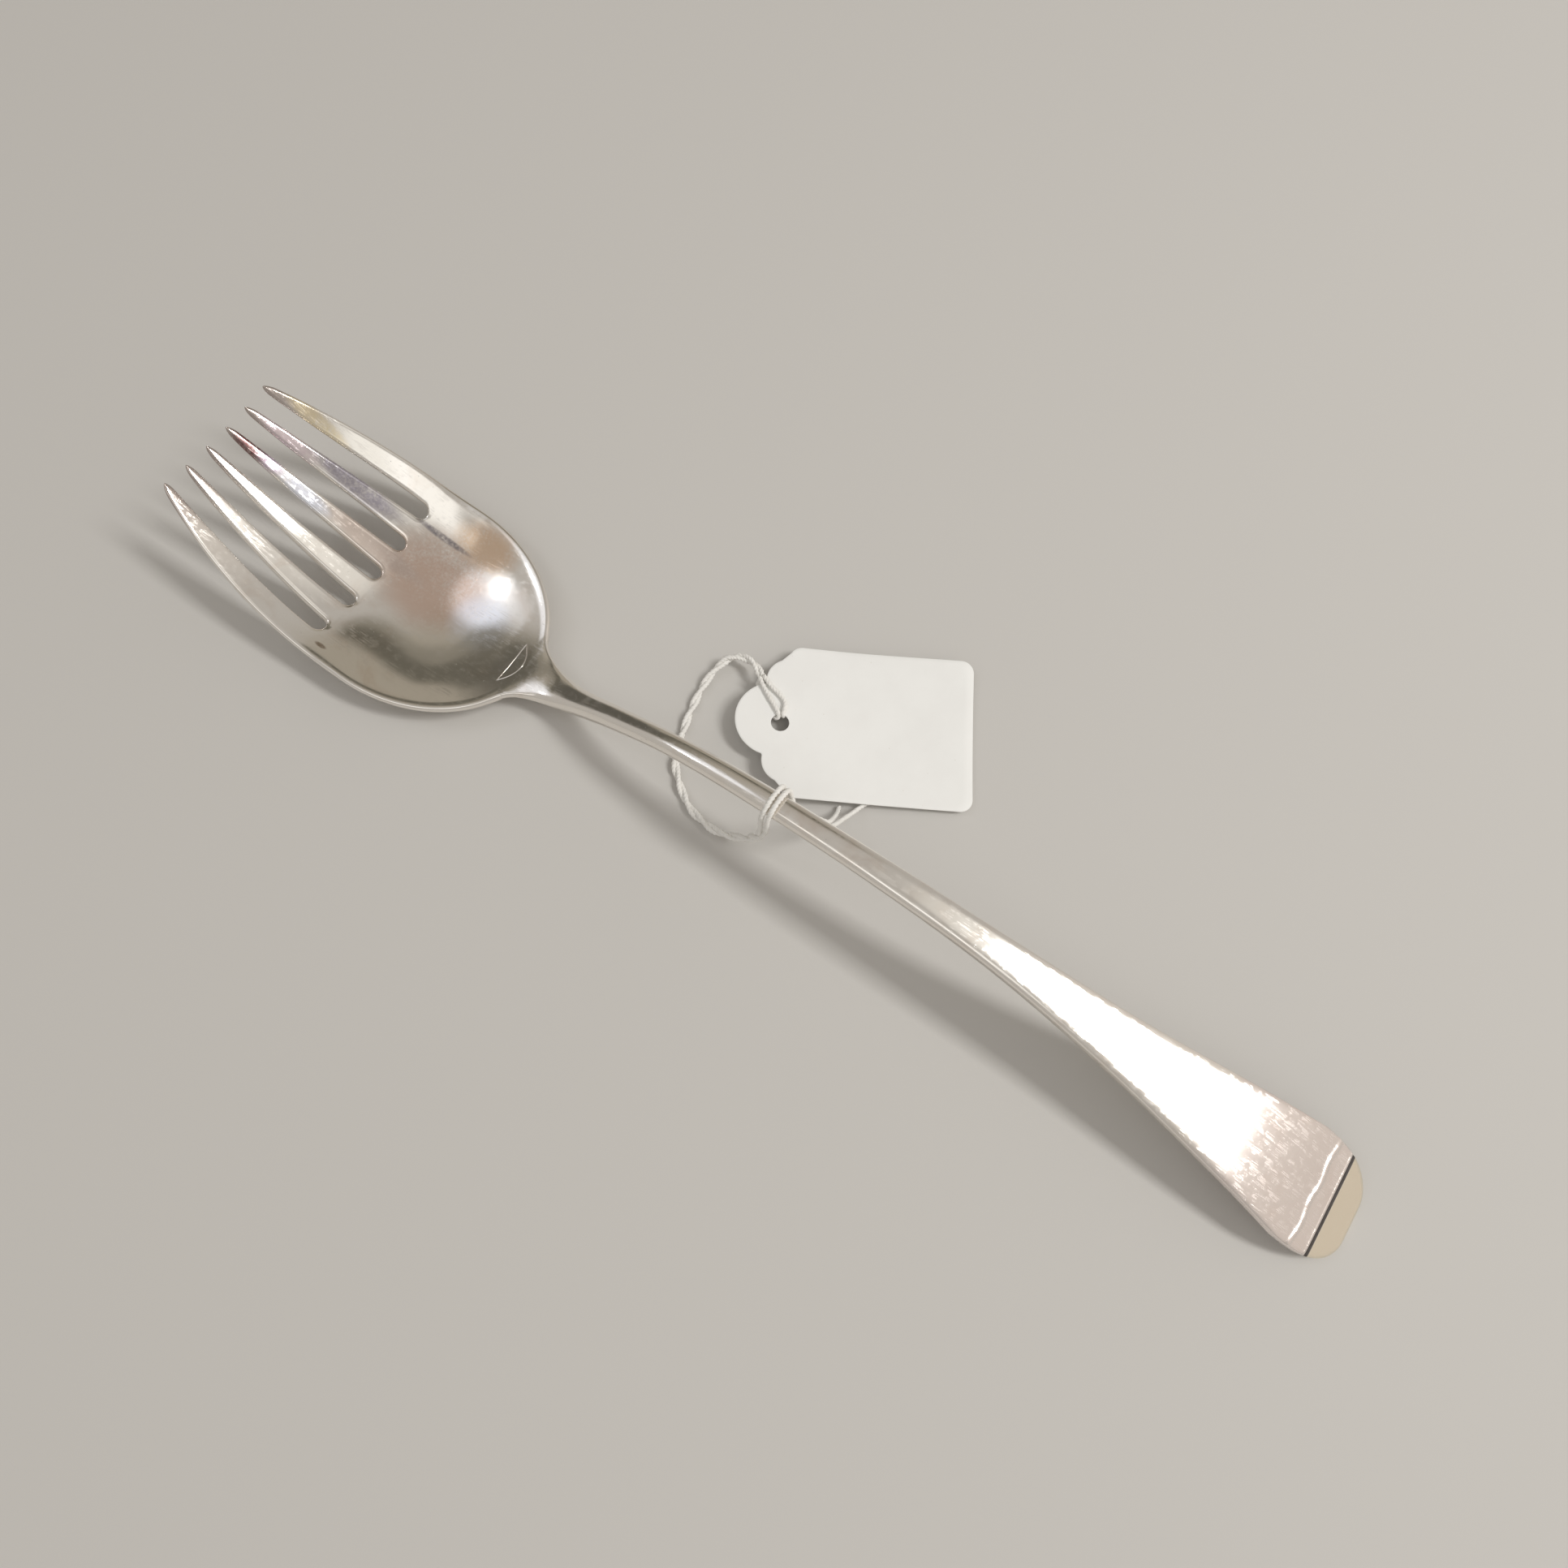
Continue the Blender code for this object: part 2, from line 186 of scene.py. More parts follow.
def sides(line: np.ndarray, first: Point) -> tuple[np.ndarray, np.ndarray]:
    """Two directions square to a line that turn as little as they can.

    Args:
        line: Points in order.
        first: Direction to start from.

    Returns:
        The first and the second direction at each point.
    """
    ahead = unit(np.gradient(line, axis=0))
    side = np.array(first, float)
    found = []
    for direction in ahead:
        side = unit(side - direction * (side @ direction))
        found.append(side)
    return np.array(found), np.cross(ahead, found)


@dataclass(frozen=True)
class Profile:
    """A smooth curve through values given at stations."""

    stations: tuple[Span, ...]

    def __call__(self, at: Number) -> np.ndarray:
        """Value of the curve.

        Args:
            at: Station or stations; those outside the curve take its end values.

        Returns:
            The value at each station.
        """
        place, value = np.array(self.stations).T
        at = np.clip(at, place[0], place[-1])
        index = np.arange(len(place))
        before = np.maximum(index - 1, 0)
        after = np.minimum(index + 1, len(place) - 1)
        slope = (value[after] - value[before]) / (place[after] - place[before])
        low = np.clip(np.searchsorted(place, at, side="right") - 1, 0, len(place) - 2)
        span = place[low + 1] - place[low]
        share = (at - place[low]) / span
        return ease(share, span, (value[low], value[low + 1]), (slope[low], slope[low + 1]))


class Shade:
    """An output socket of a shader node, for use in sums."""

    def __init__(self, bench: "Bench", socket: bpy.types.NodeSocket) -> None:
        """Keep the socket and the tree that it belongs to."""
        self.bench = bench
        self.socket = socket

    @property
    def wide(self) -> bool:
        """True for a colour or a vector."""
        return self.socket.type in ("VECTOR", "RGBA")

    def join(self, operation: str, first: "Value", second: "Value") -> "Shade":
        """Join two values by a Math node, or by a Vector Math node if one of them is wide.

        Args:
            operation: Name of the node's operation.
            first: Value on the left.
            second: Value on the right.

        Returns:
            The node's output.
        """
        pair = [first, second]
        kind = "ShaderNodeMath"
        if any(isinstance(value, Shade) and value.wide for value in pair):
            kind = "ShaderNodeVectorMath"
            pair = [(value,) * 3 if isinstance(value, (int, float)) else value for value in pair]
        return self.bench.node(kind, {"operation": operation}, {0: pair[0], 1: pair[1]})

    def __add__(self, other: "Value") -> "Shade":
        """Sum."""
        return self.join("ADD", self, other)

    def __radd__(self, other: "Value") -> "Shade":
        """Sum with the other value on the left."""
        return self.join("ADD", other, self)

    def __sub__(self, other: "Value") -> "Shade":
        """Difference."""
        return self.join("SUBTRACT", self, other)

    def __rsub__(self, other: "Value") -> "Shade":
        """Difference with the other value on the left."""
        return self.join("SUBTRACT", other, self)

    def __mul__(self, other: "Value") -> "Shade":
        """Product."""
        return self.join("MULTIPLY", self, other)

    def __rmul__(self, other: "Value") -> "Shade":
        """Product with the other value on the left."""
        return self.join("MULTIPLY", other, self)

    def __truediv__(self, other: "Value") -> "Shade":
        """Quotient."""
        return self.join("DIVIDE", self, other)

    def __rtruediv__(self, other: "Value") -> "Shade":
        """Quotient with the other value on the left."""
        return self.join("DIVIDE", other, self)

    def __abs__(self) -> "Shade":
        """Size without sign."""
        return self.bench.node("ShaderNodeMath", {"operation": "ABSOLUTE"}, {0: self})

    def most(self, other: "Value") -> "Shade":
        """The larger of two values."""
        return self.join("MAXIMUM", self, other)

    def ramp(self, low: float, high: float, start: float, end: float) -> "Shade":
        """Go smoothly from start at low to end at high."""
        sockets = {0: self, 1: low, 2: high, 3: start, 4: end}
        return self.bench.node("ShaderNodeMapRange", {"interpolation_type": "SMOOTHSTEP"}, sockets)

    def rise(self, low: float, high: float) -> "Shade":
        """Go smoothly from 0 at low to 1 at high."""
        return self.ramp(low, high, 0.0, 1.0)

    def fall(self, low: float, high: float) -> "Shade":
        """Go smoothly from 1 at low to 0 at high."""
        return self.ramp(low, high, 1.0, 0.0)

    def band(self, start: float, end: float, soft: float) -> "Shade":
        """1 between start and end, 0 outside, with soft borders."""
        return self.rise(start - soft, start + soft) * self.fall(end - soft, end + soft)

    def parts(self) -> tuple["Shade", "Shade", "Shade"]:
        """The three numbers of a vector."""
        outputs = self.bench.node("ShaderNodeSeparateXYZ", {}, {0: self}).socket.node.outputs
        return Shade(self.bench, outputs[0]), Shade(self.bench, outputs[1]), Shade(self.bench, outputs[2])


Value = Union[Shade, float, Sequence[float]]


@dataclass(frozen=True)
class Noise:
    """A soft noise: features for each millimetre, finer layers and their strength, bending and stretch."""

    scale: float
    detail: float = 3.0
    rough: float = 0.55
    warp: float = 0.0
    stretch: Optional[Point] = None


class Bench:
    """The node tree of one material or of the world."""

    def __init__(self, owner: Union[bpy.types.Material, bpy.types.World]) -> None:
        """Start an empty tree.

        Args:
            owner: Material or world that the tree belongs to.
        """
        owner.use_nodes = True
        self.tree = owner.node_tree
        self.tree.nodes.clear()

    def node(self, kind: str, settings: Optional[dict] = None, sockets: Optional[dict] = None,
             out: Union[int, str] = 0) -> Optional[Shade]:
        """Add a node.

        Args:
            kind: Type of the node.
            settings: Its settings, by name.
            sockets: Values or links of its inputs, by name or place.
            out: Output to give back.

        Returns:
            The chosen output, or None from a node without outputs.
        """
        made = self.tree.nodes.new(kind)
        for name, value in (settings or {}).items():
            setattr(made, name, value)
        for name, value in (sockets or {}).items():
            socket = made.inputs[name]
            if isinstance(value, Shade):
                self.tree.links.new(value.socket, socket)
            elif socket.type == "RGBA":
                socket.default_value = (*value, 1.0)
            else:
                socket.default_value = value
        return Shade(self, made.outputs[out]) if made.outputs else None

    def place(self) -> Shade:
        """Place on the object at rest, in millimetres from the middle of the fork."""
        return self.node("ShaderNodeTexCoord", out="Object") * (1 / MM)

    def noise(self, at: Shade, noise: Noise) -> Shade:
        """Soft noise between 0 and 1.

        Args:
            at: Place to look the noise up.
            noise: Its settings.

        Returns:
            The noise.
        """
        sockets = {"Vector": at * noise.stretch if noise.stretch else at, "Scale": noise.scale,
                   "Detail": noise.detail, "Roughness": noise.rough, "Distortion": noise.warp}
        return self.node("ShaderNodeTexNoise", {}, sockets)

    def hairs(self, at: Shade, stretch: Point, turn: float, width: float) -> Shade:
        """Fine broken lines, as contour lines of a stretched noise.

        Args:
            at: Place in millimetres.
            stretch: Features for each millimetre along each axis after the turn.
            turn: Turn about the vertical in radians.
            width: Share of the noise that a line takes.

        Returns:
            1 on a line, 0 away from it.
        """
        sockets = {"Vector": at, "Rotation": (0.0, 0.0, turn), "Scale": stretch}
        turned = self.node("ShaderNodeMapping", {"vector_type": "POINT"}, sockets)
        return abs(self.noise(turned, Noise(1.0, 1.0)) - NOISE_MIDDLE).fall(width * HAIR_CORE, width)

    def specks(self, at: Shade, scale: float, size: float) -> Shade:
        """Small round spots at scattered places.

        Args:
            at: Place in millimetres.
            scale: Cells for each millimetre.
            size: Radius as a share of a cell.

        Returns:
            1 in a spot, 0 away from it.
        """
        far = self.node("ShaderNodeTexVoronoi", {"feature": "F1"}, {"Vector": at, "Scale": scale}, "Distance")
        return far.fall(size * SPECK_CORE, size)

    def mix(self, share: Value, first: Value, second: Value) -> Shade:
        """Mix two colours.

        Args:
            share: Part of the second colour.
            first: Colour at share 0.
            second: Colour at share 1.

        Returns:
            The mixed colour.
        """
        return self.node("ShaderNodeMix", {"data_type": "RGBA"}, {0: share, 6: first, 7: second}, 2)

    def bump(self, height: Shade, depth: float) -> Shade:
        """Normal of a height, where a height of 1 stands for the depth in millimetres."""
        return self.node("ShaderNodeBump", {}, {"Distance": depth * MM, "Height": height})

    def surface(self, sockets: dict) -> None:
        """End a material's tree with one surface shader that has these values or links."""
        shader = self.node("ShaderNodeBsdfPrincipled", {}, sockets)
        self.node("ShaderNodeOutputMaterial", {}, {"Surface": shader})


@dataclass(frozen=True)
class Finish:
    """A named finish."""

    name: str

    def paint(self, bench: Bench) -> None:
        """Add the nodes of the finish to a material's tree."""
        raise NotImplementedError

    def material(self) -> bpy.types.Material:
        """Build the finish.

        Returns:
            The material.
        """
        made = bpy.data.materials.new(self.name)
        self.paint(Bench(made))
        return made


@dataclass(frozen=True)
class Patch:
    """A long round patch of tint on the metal, partly tarnish and partly painted reflection: its middle and
    reach in millimetres, along and across.
    """

    middle: Span
    reach: Span
    share: float
    tone: Colour


@dataclass(frozen=True)
class Lay:
    """Hair scratches of one direction: features for each millimetre along and across, turn and width."""

    along: float
    across: float
    turn: float
    width: float


@dataclass(frozen=True)
class Silver(Finish):
    """Old polished silver: fine polish lines, hair scratches and specks of dirt."""

    name: str = "silver"
    metal: Colour = (0.93, 0.895, 0.845)
    warm: Colour = (0.78, 0.66, 0.56)
    # Colour of dirt in the pits; on the handle also the painted shade along the crease.
    dirt_and_shade: Colour = (0.05, 0.04, 0.035)
    gloss: float = 0.07
    depth: float = 0.0022
    scratch: float = 1.5
    steep: float = 0.15
    lays: tuple[Lay, ...] = (Lay(0.030, 1.3, 0.42, 0.010), Lay(0.035, 1.1, -0.8, 0.008),
                             Lay(0.025, 1.5, 0.04, 0.012), Lay(0.030, 0.9, 1.35, 0.007))
    hair_rough: float = 0.10
    hair_deep: float = 0.45
    breaks: Noise = Noise(0.7, 2.0)
    breaks_range: Span = (0.42, 0.58)
    polish: Noise = Noise(1.0, 2.0, 0.5, stretch=(0.05, 2.2, 0.35))
    polish_rough: float = 0.05
    polish_high: float = 0.3
    pit_cells: float = 0.55
    pit_size: float = 0.05
    pit_dirt: float = 0.7
    dirt_rough: float = 0.5
    dirt_deep: float = 1.2
    haze: Noise = Noise(0.35, 4.0)
    haze_rough: float = 0.05
    tarnish: Noise = Noise(0.11, 5.0, 0.6, 0.6)
    tarnish_range: Span = (0.50, 0.78)
    tarnish_share: float = 0.45

    def scratches(self, bench: Bench, at: Shade) -> Shade:
        """Hair scratches of every direction.

        Args:
            bench: Tree to add to.
            at: Place in millimetres.

        Returns:
            1 on a scratch, 0 away from it.
        """
        lines = [bench.hairs(at, (lay.along, lay.across, self.steep), lay.turn, lay.width * self.scratch)
                 for lay in self.lays]
        return reduce(Shade.most, lines) * bench.noise(at, self.breaks).rise(*self.breaks_range)

    def grime_and_shade(self, bench: Bench, at: Shade) -> Shade:
        """Where dirt fills the pits: 1 is full."""
        return bench.specks(at, self.pit_cells, self.pit_size) * self.pit_dirt

    def clouds(self, bench: Bench, at: Shade) -> tuple[Shade, Shade]:
        """Soft clouds of warm tarnish.

        Args:
            bench: Tree to add to.
            at: Place in millimetres.

        Returns:
            The clouds between 0 and 1, and the colour of the metal with them.
        """
        cloud = bench.noise(at, self.tarnish)
        return cloud, bench.mix(cloud.rise(*self.tarnish_range) * self.tarnish_share, self.metal, self.warm)

    def film(self, bench: Bench, at: Shade) -> Shade:
        """Colour of the metal with its tarnish."""
        return self.clouds(bench, at)[1]

    def wear(self, bench: Bench, at: Shade, hairs: Shade) -> Optional[tuple[Shade, Shade]]:
        """Added height and roughness of a worn area; here there is none."""
        return None

    def paint(self, bench: Bench) -> None:
        """Add the nodes of the finish.

        Args:
            bench: Tree to add to.
        """
        at = bench.place()
        lines = bench.noise(at, self.polish)
        hairs = self.scratches(bench, at)
        dirt_and_shade = self.grime_and_shade(bench, at)
        # Darken with dirt in the pits and, on the handle, with painted shade along the crease.
        colour = bench.mix(dirt_and_shade, self.film(bench, at), self.dirt_and_shade)
        rough = self.gloss + lines * self.polish_rough + hairs * self.hair_rough
        rough = rough + bench.noise(at, self.haze) * self.haze_rough + dirt_and_shade * self.dirt_rough
        height = lines * self.polish_high + (1 - hairs) * self.hair_deep + (1 - dirt_and_shade) * self.dirt_deep
        worn = self.wear(bench, at, hairs)
        if worn:
            height = height + worn[0]
            rough = rough + worn[1]
        normal = bench.bump(height, self.depth)
        bench.surface({"Base Color": colour, "Metallic": 1 - dirt_and_shade, "Roughness": rough, "Normal": normal})


@dataclass(frozen=True)
class BowlSilver(Silver):
    """Silver of the bowl and the tines: dull tips, and patches of tint that are partly tarnish and partly
    painted reflection.
    """

    name: str = "bowl silver"
    dull: Colour = (0.50, 0.44, 0.41)
    dull_share: float = 0.95
    dull_fade: Span = (-124.0, -114.0)
    grain: Noise = Noise(1.6, 2.0, 0.7)
    broken_by: Span = (0.7, 0.6)
    broken_range: Span = (0.22, 0.74)
    patch_fade: Span = (0.15, 1.3)
    # Tints on the bowl and the tines, partly tarnish and partly painted reflections of the surroundings.
    patches: tuple[Patch, ...] = (
        # Warm brown of the bowl: partly patina, partly a painted reflection of a dim brown room.
        Patch((-83.0, 5.5), (13.0, 10.5), 1.0, (0.78, 0.61, 0.51)),
        Patch((-78.0, 16.7), (8.0, 4.5), 1.0, (0.84, 0.65, 0.49)),
        # Painted bluish reflection of the window, round its highlight near the heel.
        Patch((-70.0, 3.5), (7.0, 6.5), 0.6, (0.84, 0.88, 0.97)),
        Patch((-87.0, 13.8), (7.0, 0.7), 1.0, (0.28, 0.26, 0.28)),
        Patch((-106.0, 11.4), (11.0, 2.6), 1.0, (0.46, 0.43, 0.49)),
        Patch((-97.0, 4.0), (12.0, 2.4), 0.8, (0.70, 0.59, 0.53)),
        # Painted bluish reflection on a tine's highlight.
        Patch((-110.5, 3.1), (5.5, 1.8), 0.8, (0.80, 0.84, 0.97)),
        Patch((-117.5, 3.3), (2.8, 1.8), 0.9, (0.62, 0.53, 0.66)),
        # Dark spot at a tine's tip, widened over the tine's edge as painted shade that dims the edge
        # highlight.
        Patch((-121.0, 3.2), (3.2, 2.6), 1.0, (0.20, 0.10, 0.10)),
        Patch((-117.5, 9.1), (6.0, 2.2), 0.85, (0.76, 0.65, 0.70)),
        Patch((-115.5, 15.3), (6.5, 1.9), 0.9, (0.92, 0.80, 0.56)),
        Patch((-89.6, -18.9), (1.3, 0.5), 0.9, (0.35, 0.28, 0.22)))

    def film(self, bench: Bench, at: Shade) -> Shade:
        """Colour of the metal with its tarnish and its painted reflection tints.

        Args:
            bench: Tree to add to.
            at: Place in millimetres.

        Returns:
            The colour.
        """
        x, y, _ = at.parts()
        cloud, colour = self.clouds(bench, at)
        broken = cloud * self.broken_by[0] + bench.noise(at, self.grain) * self.broken_by[1]
        broken = broken.rise(*self.broken_range)
        colour = bench.mix(x.fall(*self.dull_fade) * self.dull_share, colour, self.dull)
        # Lay the tints: tarnish and painted reflections.
        for patch in self.patches:
            along = (x - patch.middle[0]) / patch.reach[0]
            across = (y - patch.middle[1]) / patch.reach[1]
            inside = (along * along + across * across).fall(*self.patch_fade)
            colour = bench.mix(inside * broken * patch.share, colour, patch.tone)
        return colour


@dataclass(frozen=True)
class HandleSilver(Silver):
    """Silver of the handle: a worn flat tinted with a painted rosy reflection, painted shade along the crease
    and a painted beige reflection on the turned-down end.
    """

    name: str = "handle silver"
    gloss: float = 0.08
    depth: float = 0.004
    scratch: float = 3.0
    # Rosy tint towards the end of the flat: a painted pinkish reflection, swayed by the tarnish clouds.
    rosy: Colour = (0.86, 0.755, 0.735)
    rosy_from: Span = (97.0, 110.0)
    rosy_sway: float = 16.0
    rosy_share: float = 0.5
    # Beige of the turned-down end: a painted reflection of the table.
    beige: Colour = (0.89, 0.815, 0.66)
    beige_from: Span = (119.6, 120.0)
    beige_share: float = 0.85
    # Band of painted shade along the crease: start, end and soft border, in millimetres from the middle.
    crease: tuple[float, float, float] = (119.24, 119.96, 0.10)
    crease_above: Span = (3.1, 3.5)
    worn_from: Span = (78.0, 108.0)
    worn_to: Span = (118.9, 119.4)
    worn_rough: float = 0.06
    pits: Noise = Noise(1.5, 1.0, 0.5)
    pits_high: float = 0.45
    cuts_deep: float = 1.0
    filed: Noise = Noise(1.0, 1.0, stretch=(2.4, 0.10, 0.3))
    filed_high: float = 0.9
    filed_from: Span = (114.5, 116.5)

    def grime_and_shade(self, bench: Bench, at: Shade) -> Shade:
        """Where dirt fills the pits, and where painted shade darkens the crease.

        Args:
            bench: Tree to add to.
            at: Place in millimetres.

        Returns:
            The share of dirt and of painted shade.
        """
        x, _, z = at.parts()
        # Dirt in the pits, and painted shade on the upper face along the crease.
        return super().grime_and_shade(bench, at).most(x.band(*self.crease) * z.rise(*self.crease_above))

    def film(self, bench: Bench, at: Shade) -> Shade:
        """Colour of the metal with its tarnish, the painted rosy reflection on the flat and the painted beige
        reflection on the end.

        Args:
            bench: Tree to add to.
            at: Place in millimetres.

        Returns:
            The colour.
        """
        x = at.parts()[0]
        cloud, colour = self.clouds(bench, at)
        # Painted rosy reflection towards the end of the flat.
        rosy = (x + cloud * self.rosy_sway).rise(*self.rosy_from)
        colour = bench.mix(rosy * self.rosy_share, colour, self.rosy)
        # Painted beige reflection on the turned-down end.
        return bench.mix(x.rise(*self.beige_from) * self.beige_share, colour, self.beige)

    def wear(self, bench: Bench, at: Shade, hairs: Shade) -> tuple[Shade, Shade]:
        """Pits, cuts and file marks of the worn flat.

        Args:
            bench: Tree to add to.
            at: Place in millimetres.
            hairs: The hair scratches, which are deeper there.

        Returns:
            The added height and roughness.
        """
        x = at.parts()[0]
        worn = x.rise(*self.worn_from) * x.fall(*self.worn_to)
        filed = bench.noise(at, self.filed) * x.rise(*self.filed_from)
        pits = bench.noise(at, self.pits)
        height = pits * self.pits_high + filed * self.filed_high - hairs * self.cuts_deep
        return worn * height, worn * self.worn_rough


@dataclass(frozen=True)
class Card(Finish):
    """Smooth white card with faint clouds, fibres and small flecks."""

    name: str = "white card"
    paper: Colour = (0.90, 0.903, 0.885)
    shade: Colour = (0.84, 0.838, 0.82)
    fleck: Colour = (0.55, 0.50, 0.42)
    fleck_cells: float = 0.30
    fleck_size: float = 0.05
    fleck_share: float = 0.25
    cloud: Noise = Noise(0.09, 4.0)
    cloud_range: Span = (0.35, 0.75)
    cloud_share: float = 0.5
    cloud_high: float = 0.4
    cloud_rough: float = 0.15
    fibre: Noise = Noise(1.0, 3.0, 0.7, stretch=(1.6, 5.0, 4.0))
    fibre_share: float = 0.15
    fibre_high: float = 0.6
    depth: float = 0.02
    rough: float = 0.62
    shine: float = 0.35

    def paint(self, bench: Bench) -> None:
        """Add the nodes of the finish.

        Args:
            bench: Tree to add to.
        """
        at = bench.place()
        cloud = bench.noise(at, self.cloud)
        fibre = bench.noise(at, self.fibre)
        flecks = bench.specks(at, self.fleck_cells, self.fleck_size)
        shaded = cloud.rise(*self.cloud_range) * self.cloud_share + fibre * self.fibre_share
        colour = bench.mix(shaded, self.paper, self.shade)
        colour = bench.mix(flecks * self.fleck_share, colour, self.fleck)
        normal = bench.bump(fibre * self.fibre_high + cloud * self.cloud_high, self.depth)
        bench.surface({"Base Color": colour, "Roughness": self.rough + cloud * self.cloud_rough,
                       "Normal": normal, "Specular IOR Level": self.shine})


@dataclass(frozen=True)
class Cotton(Finish):
    """Off-white cotton yarn."""

    name: str = "white cotton"
    light: Colour = (0.92, 0.91, 0.88)
    dark: Colour = (0.80, 0.78, 0.735)
    dark_range: Span = (0.35, 0.85)
    cloud: Noise = Noise(0.5, 3.0)
    cloud_share: float = 0.5
    cloud_rough: float = 0.1
    fibre: Noise = Noise(7.0, 3.0, 0.7, 1.5)
    fibre_share: float = 0.6
    depth: float = 0.05
    rough: float = 0.85
    shine: float = 0.2
    fuzz: float = 0.25
    fuzz_rough: float = 0.5

    def paint(self, bench: Bench) -> None:
        """Add the nodes of the finish.

        Args:
            bench: Tree to add to.
        """
        at = bench.place()
        cloud = bench.noise(at, self.cloud)
        fibre = bench.noise(at, self.fibre)
        shaded = (fibre * self.fibre_share + cloud * self.cloud_share).rise(*self.dark_range)
        colour = bench.mix(shaded, self.light, self.dark)
        rough = self.rough + cloud * self.cloud_rough
        bench.surface({"Base Color": colour, "Roughness": rough, "Normal": bench.bump(fibre, self.depth),
                       "Specular IOR Level": self.shine, "Sheen Weight": self.fuzz,
                       "Sheen Roughness": self.fuzz_rough})


@dataclass(frozen=True)
class PaleFloor(Finish):
    """Plain pale floor."""

    name: str = "pale floor"
    colour: Colour = (0.60, 0.585, 0.56)
    rough: float = 0.8
    shine: float = 0.2

    def paint(self, bench: Bench) -> None:
        """Add the one shader of the finish."""
        bench.surface({"Base Color": self.colour, "Roughness": self.rough, "Specular IOR Level": self.shine})


class Skin:
    """Patches of points that are welded into one closed mesh."""

    def __init__(self) -> None:
        """Start without points."""
        self.points: list[np.ndarray] = []
        self.faces: list[tuple[int, ...]] = []
        self.count = 0

    def add(self, points: np.ndarray) -> np.ndarray:
        """Add points.

        Args:
            points: Array of points in millimetres, in any arrangement.

        Returns:
            Their numbers in the same arrangement.
        """
        flat = np.asarray(points, float).reshape(-1, 3)
        numbers = np.arange(self.count, self.count + len(flat)).reshape(np.shape(points)[:-1])
        self.points.append(flat)
        self.count += len(flat)
        return numbers

    def patch(self, points: np.ndarray, closed: bool = False) -> None:
        """Add rows of points joined by four-sided faces.

        Args:
            points: Rows of points.
            closed: True if each row is a ring.
        """
        numbers = self.add(points)
        if closed:
            numbers = np.concatenate([numbers, numbers[:, :1]], axis=1)
        quads = np.stack([numbers[:-1, :-1], numbers[1:, :-1], numbers[1:, 1:], numbers[:-1, 1:]], axis=-1)
        self.faces.extend(map(tuple, quads.reshape(-1, 4).tolist()))

    def cap(self, points: np.ndarray) -> None:
        """Add one flat face round a ring of points."""
        self.faces.append(tuple(self.add(points).tolist()))

    def tube(self, rings: np.ndarray) -> None:
        """Add rings joined by four-sided faces, with a flat face at both ends.

        Args:
            rings: Rings of points in order.
        """
        self.patch(rings, closed=True)
        self.cap(rings[0])
        self.cap(rings[-1])

    def piece(self, name: str, finish: bpy.types.Material, crease: float, slot: Slot,
              node: str) -> bpy.types.Object:
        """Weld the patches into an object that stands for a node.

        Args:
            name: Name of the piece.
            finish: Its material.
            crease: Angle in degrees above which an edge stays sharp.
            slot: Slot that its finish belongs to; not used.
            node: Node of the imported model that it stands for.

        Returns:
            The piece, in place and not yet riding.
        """
        mesh = bpy.data.meshes.new(name)
        mesh.from_pydata(to_metres(np.concatenate(self.points)).tolist(), [], self.faces)
        work = bmesh.new()
        work.from_mesh(mesh)
        bmesh.ops.remove_doubles(work, verts=work.verts, dist=WELD)
        bmesh.ops.recalc_face_normals(work, faces=work.faces)
        work.to_mesh(mesh)
        work.free()
        mesh.materials.append(finish)
        mesh.shade_smooth()
        mesh.set_sharp_from_angle(angle=math.radians(crease))
        made = add_object(name, mesh)
        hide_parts(node)
        return made


@dataclass(frozen=True)
class Strip:
    """Lines of one tine and of the bowl behind it, by station; pairs hold the -Y and the +Y side."""

    tine: int
    s: np.ndarray
    edges: tuple[np.ndarray, ...]
    insets: tuple[np.ndarray, ...]
    turns: tuple[np.ndarray, ...]
    rims: tuple[bool, bool]


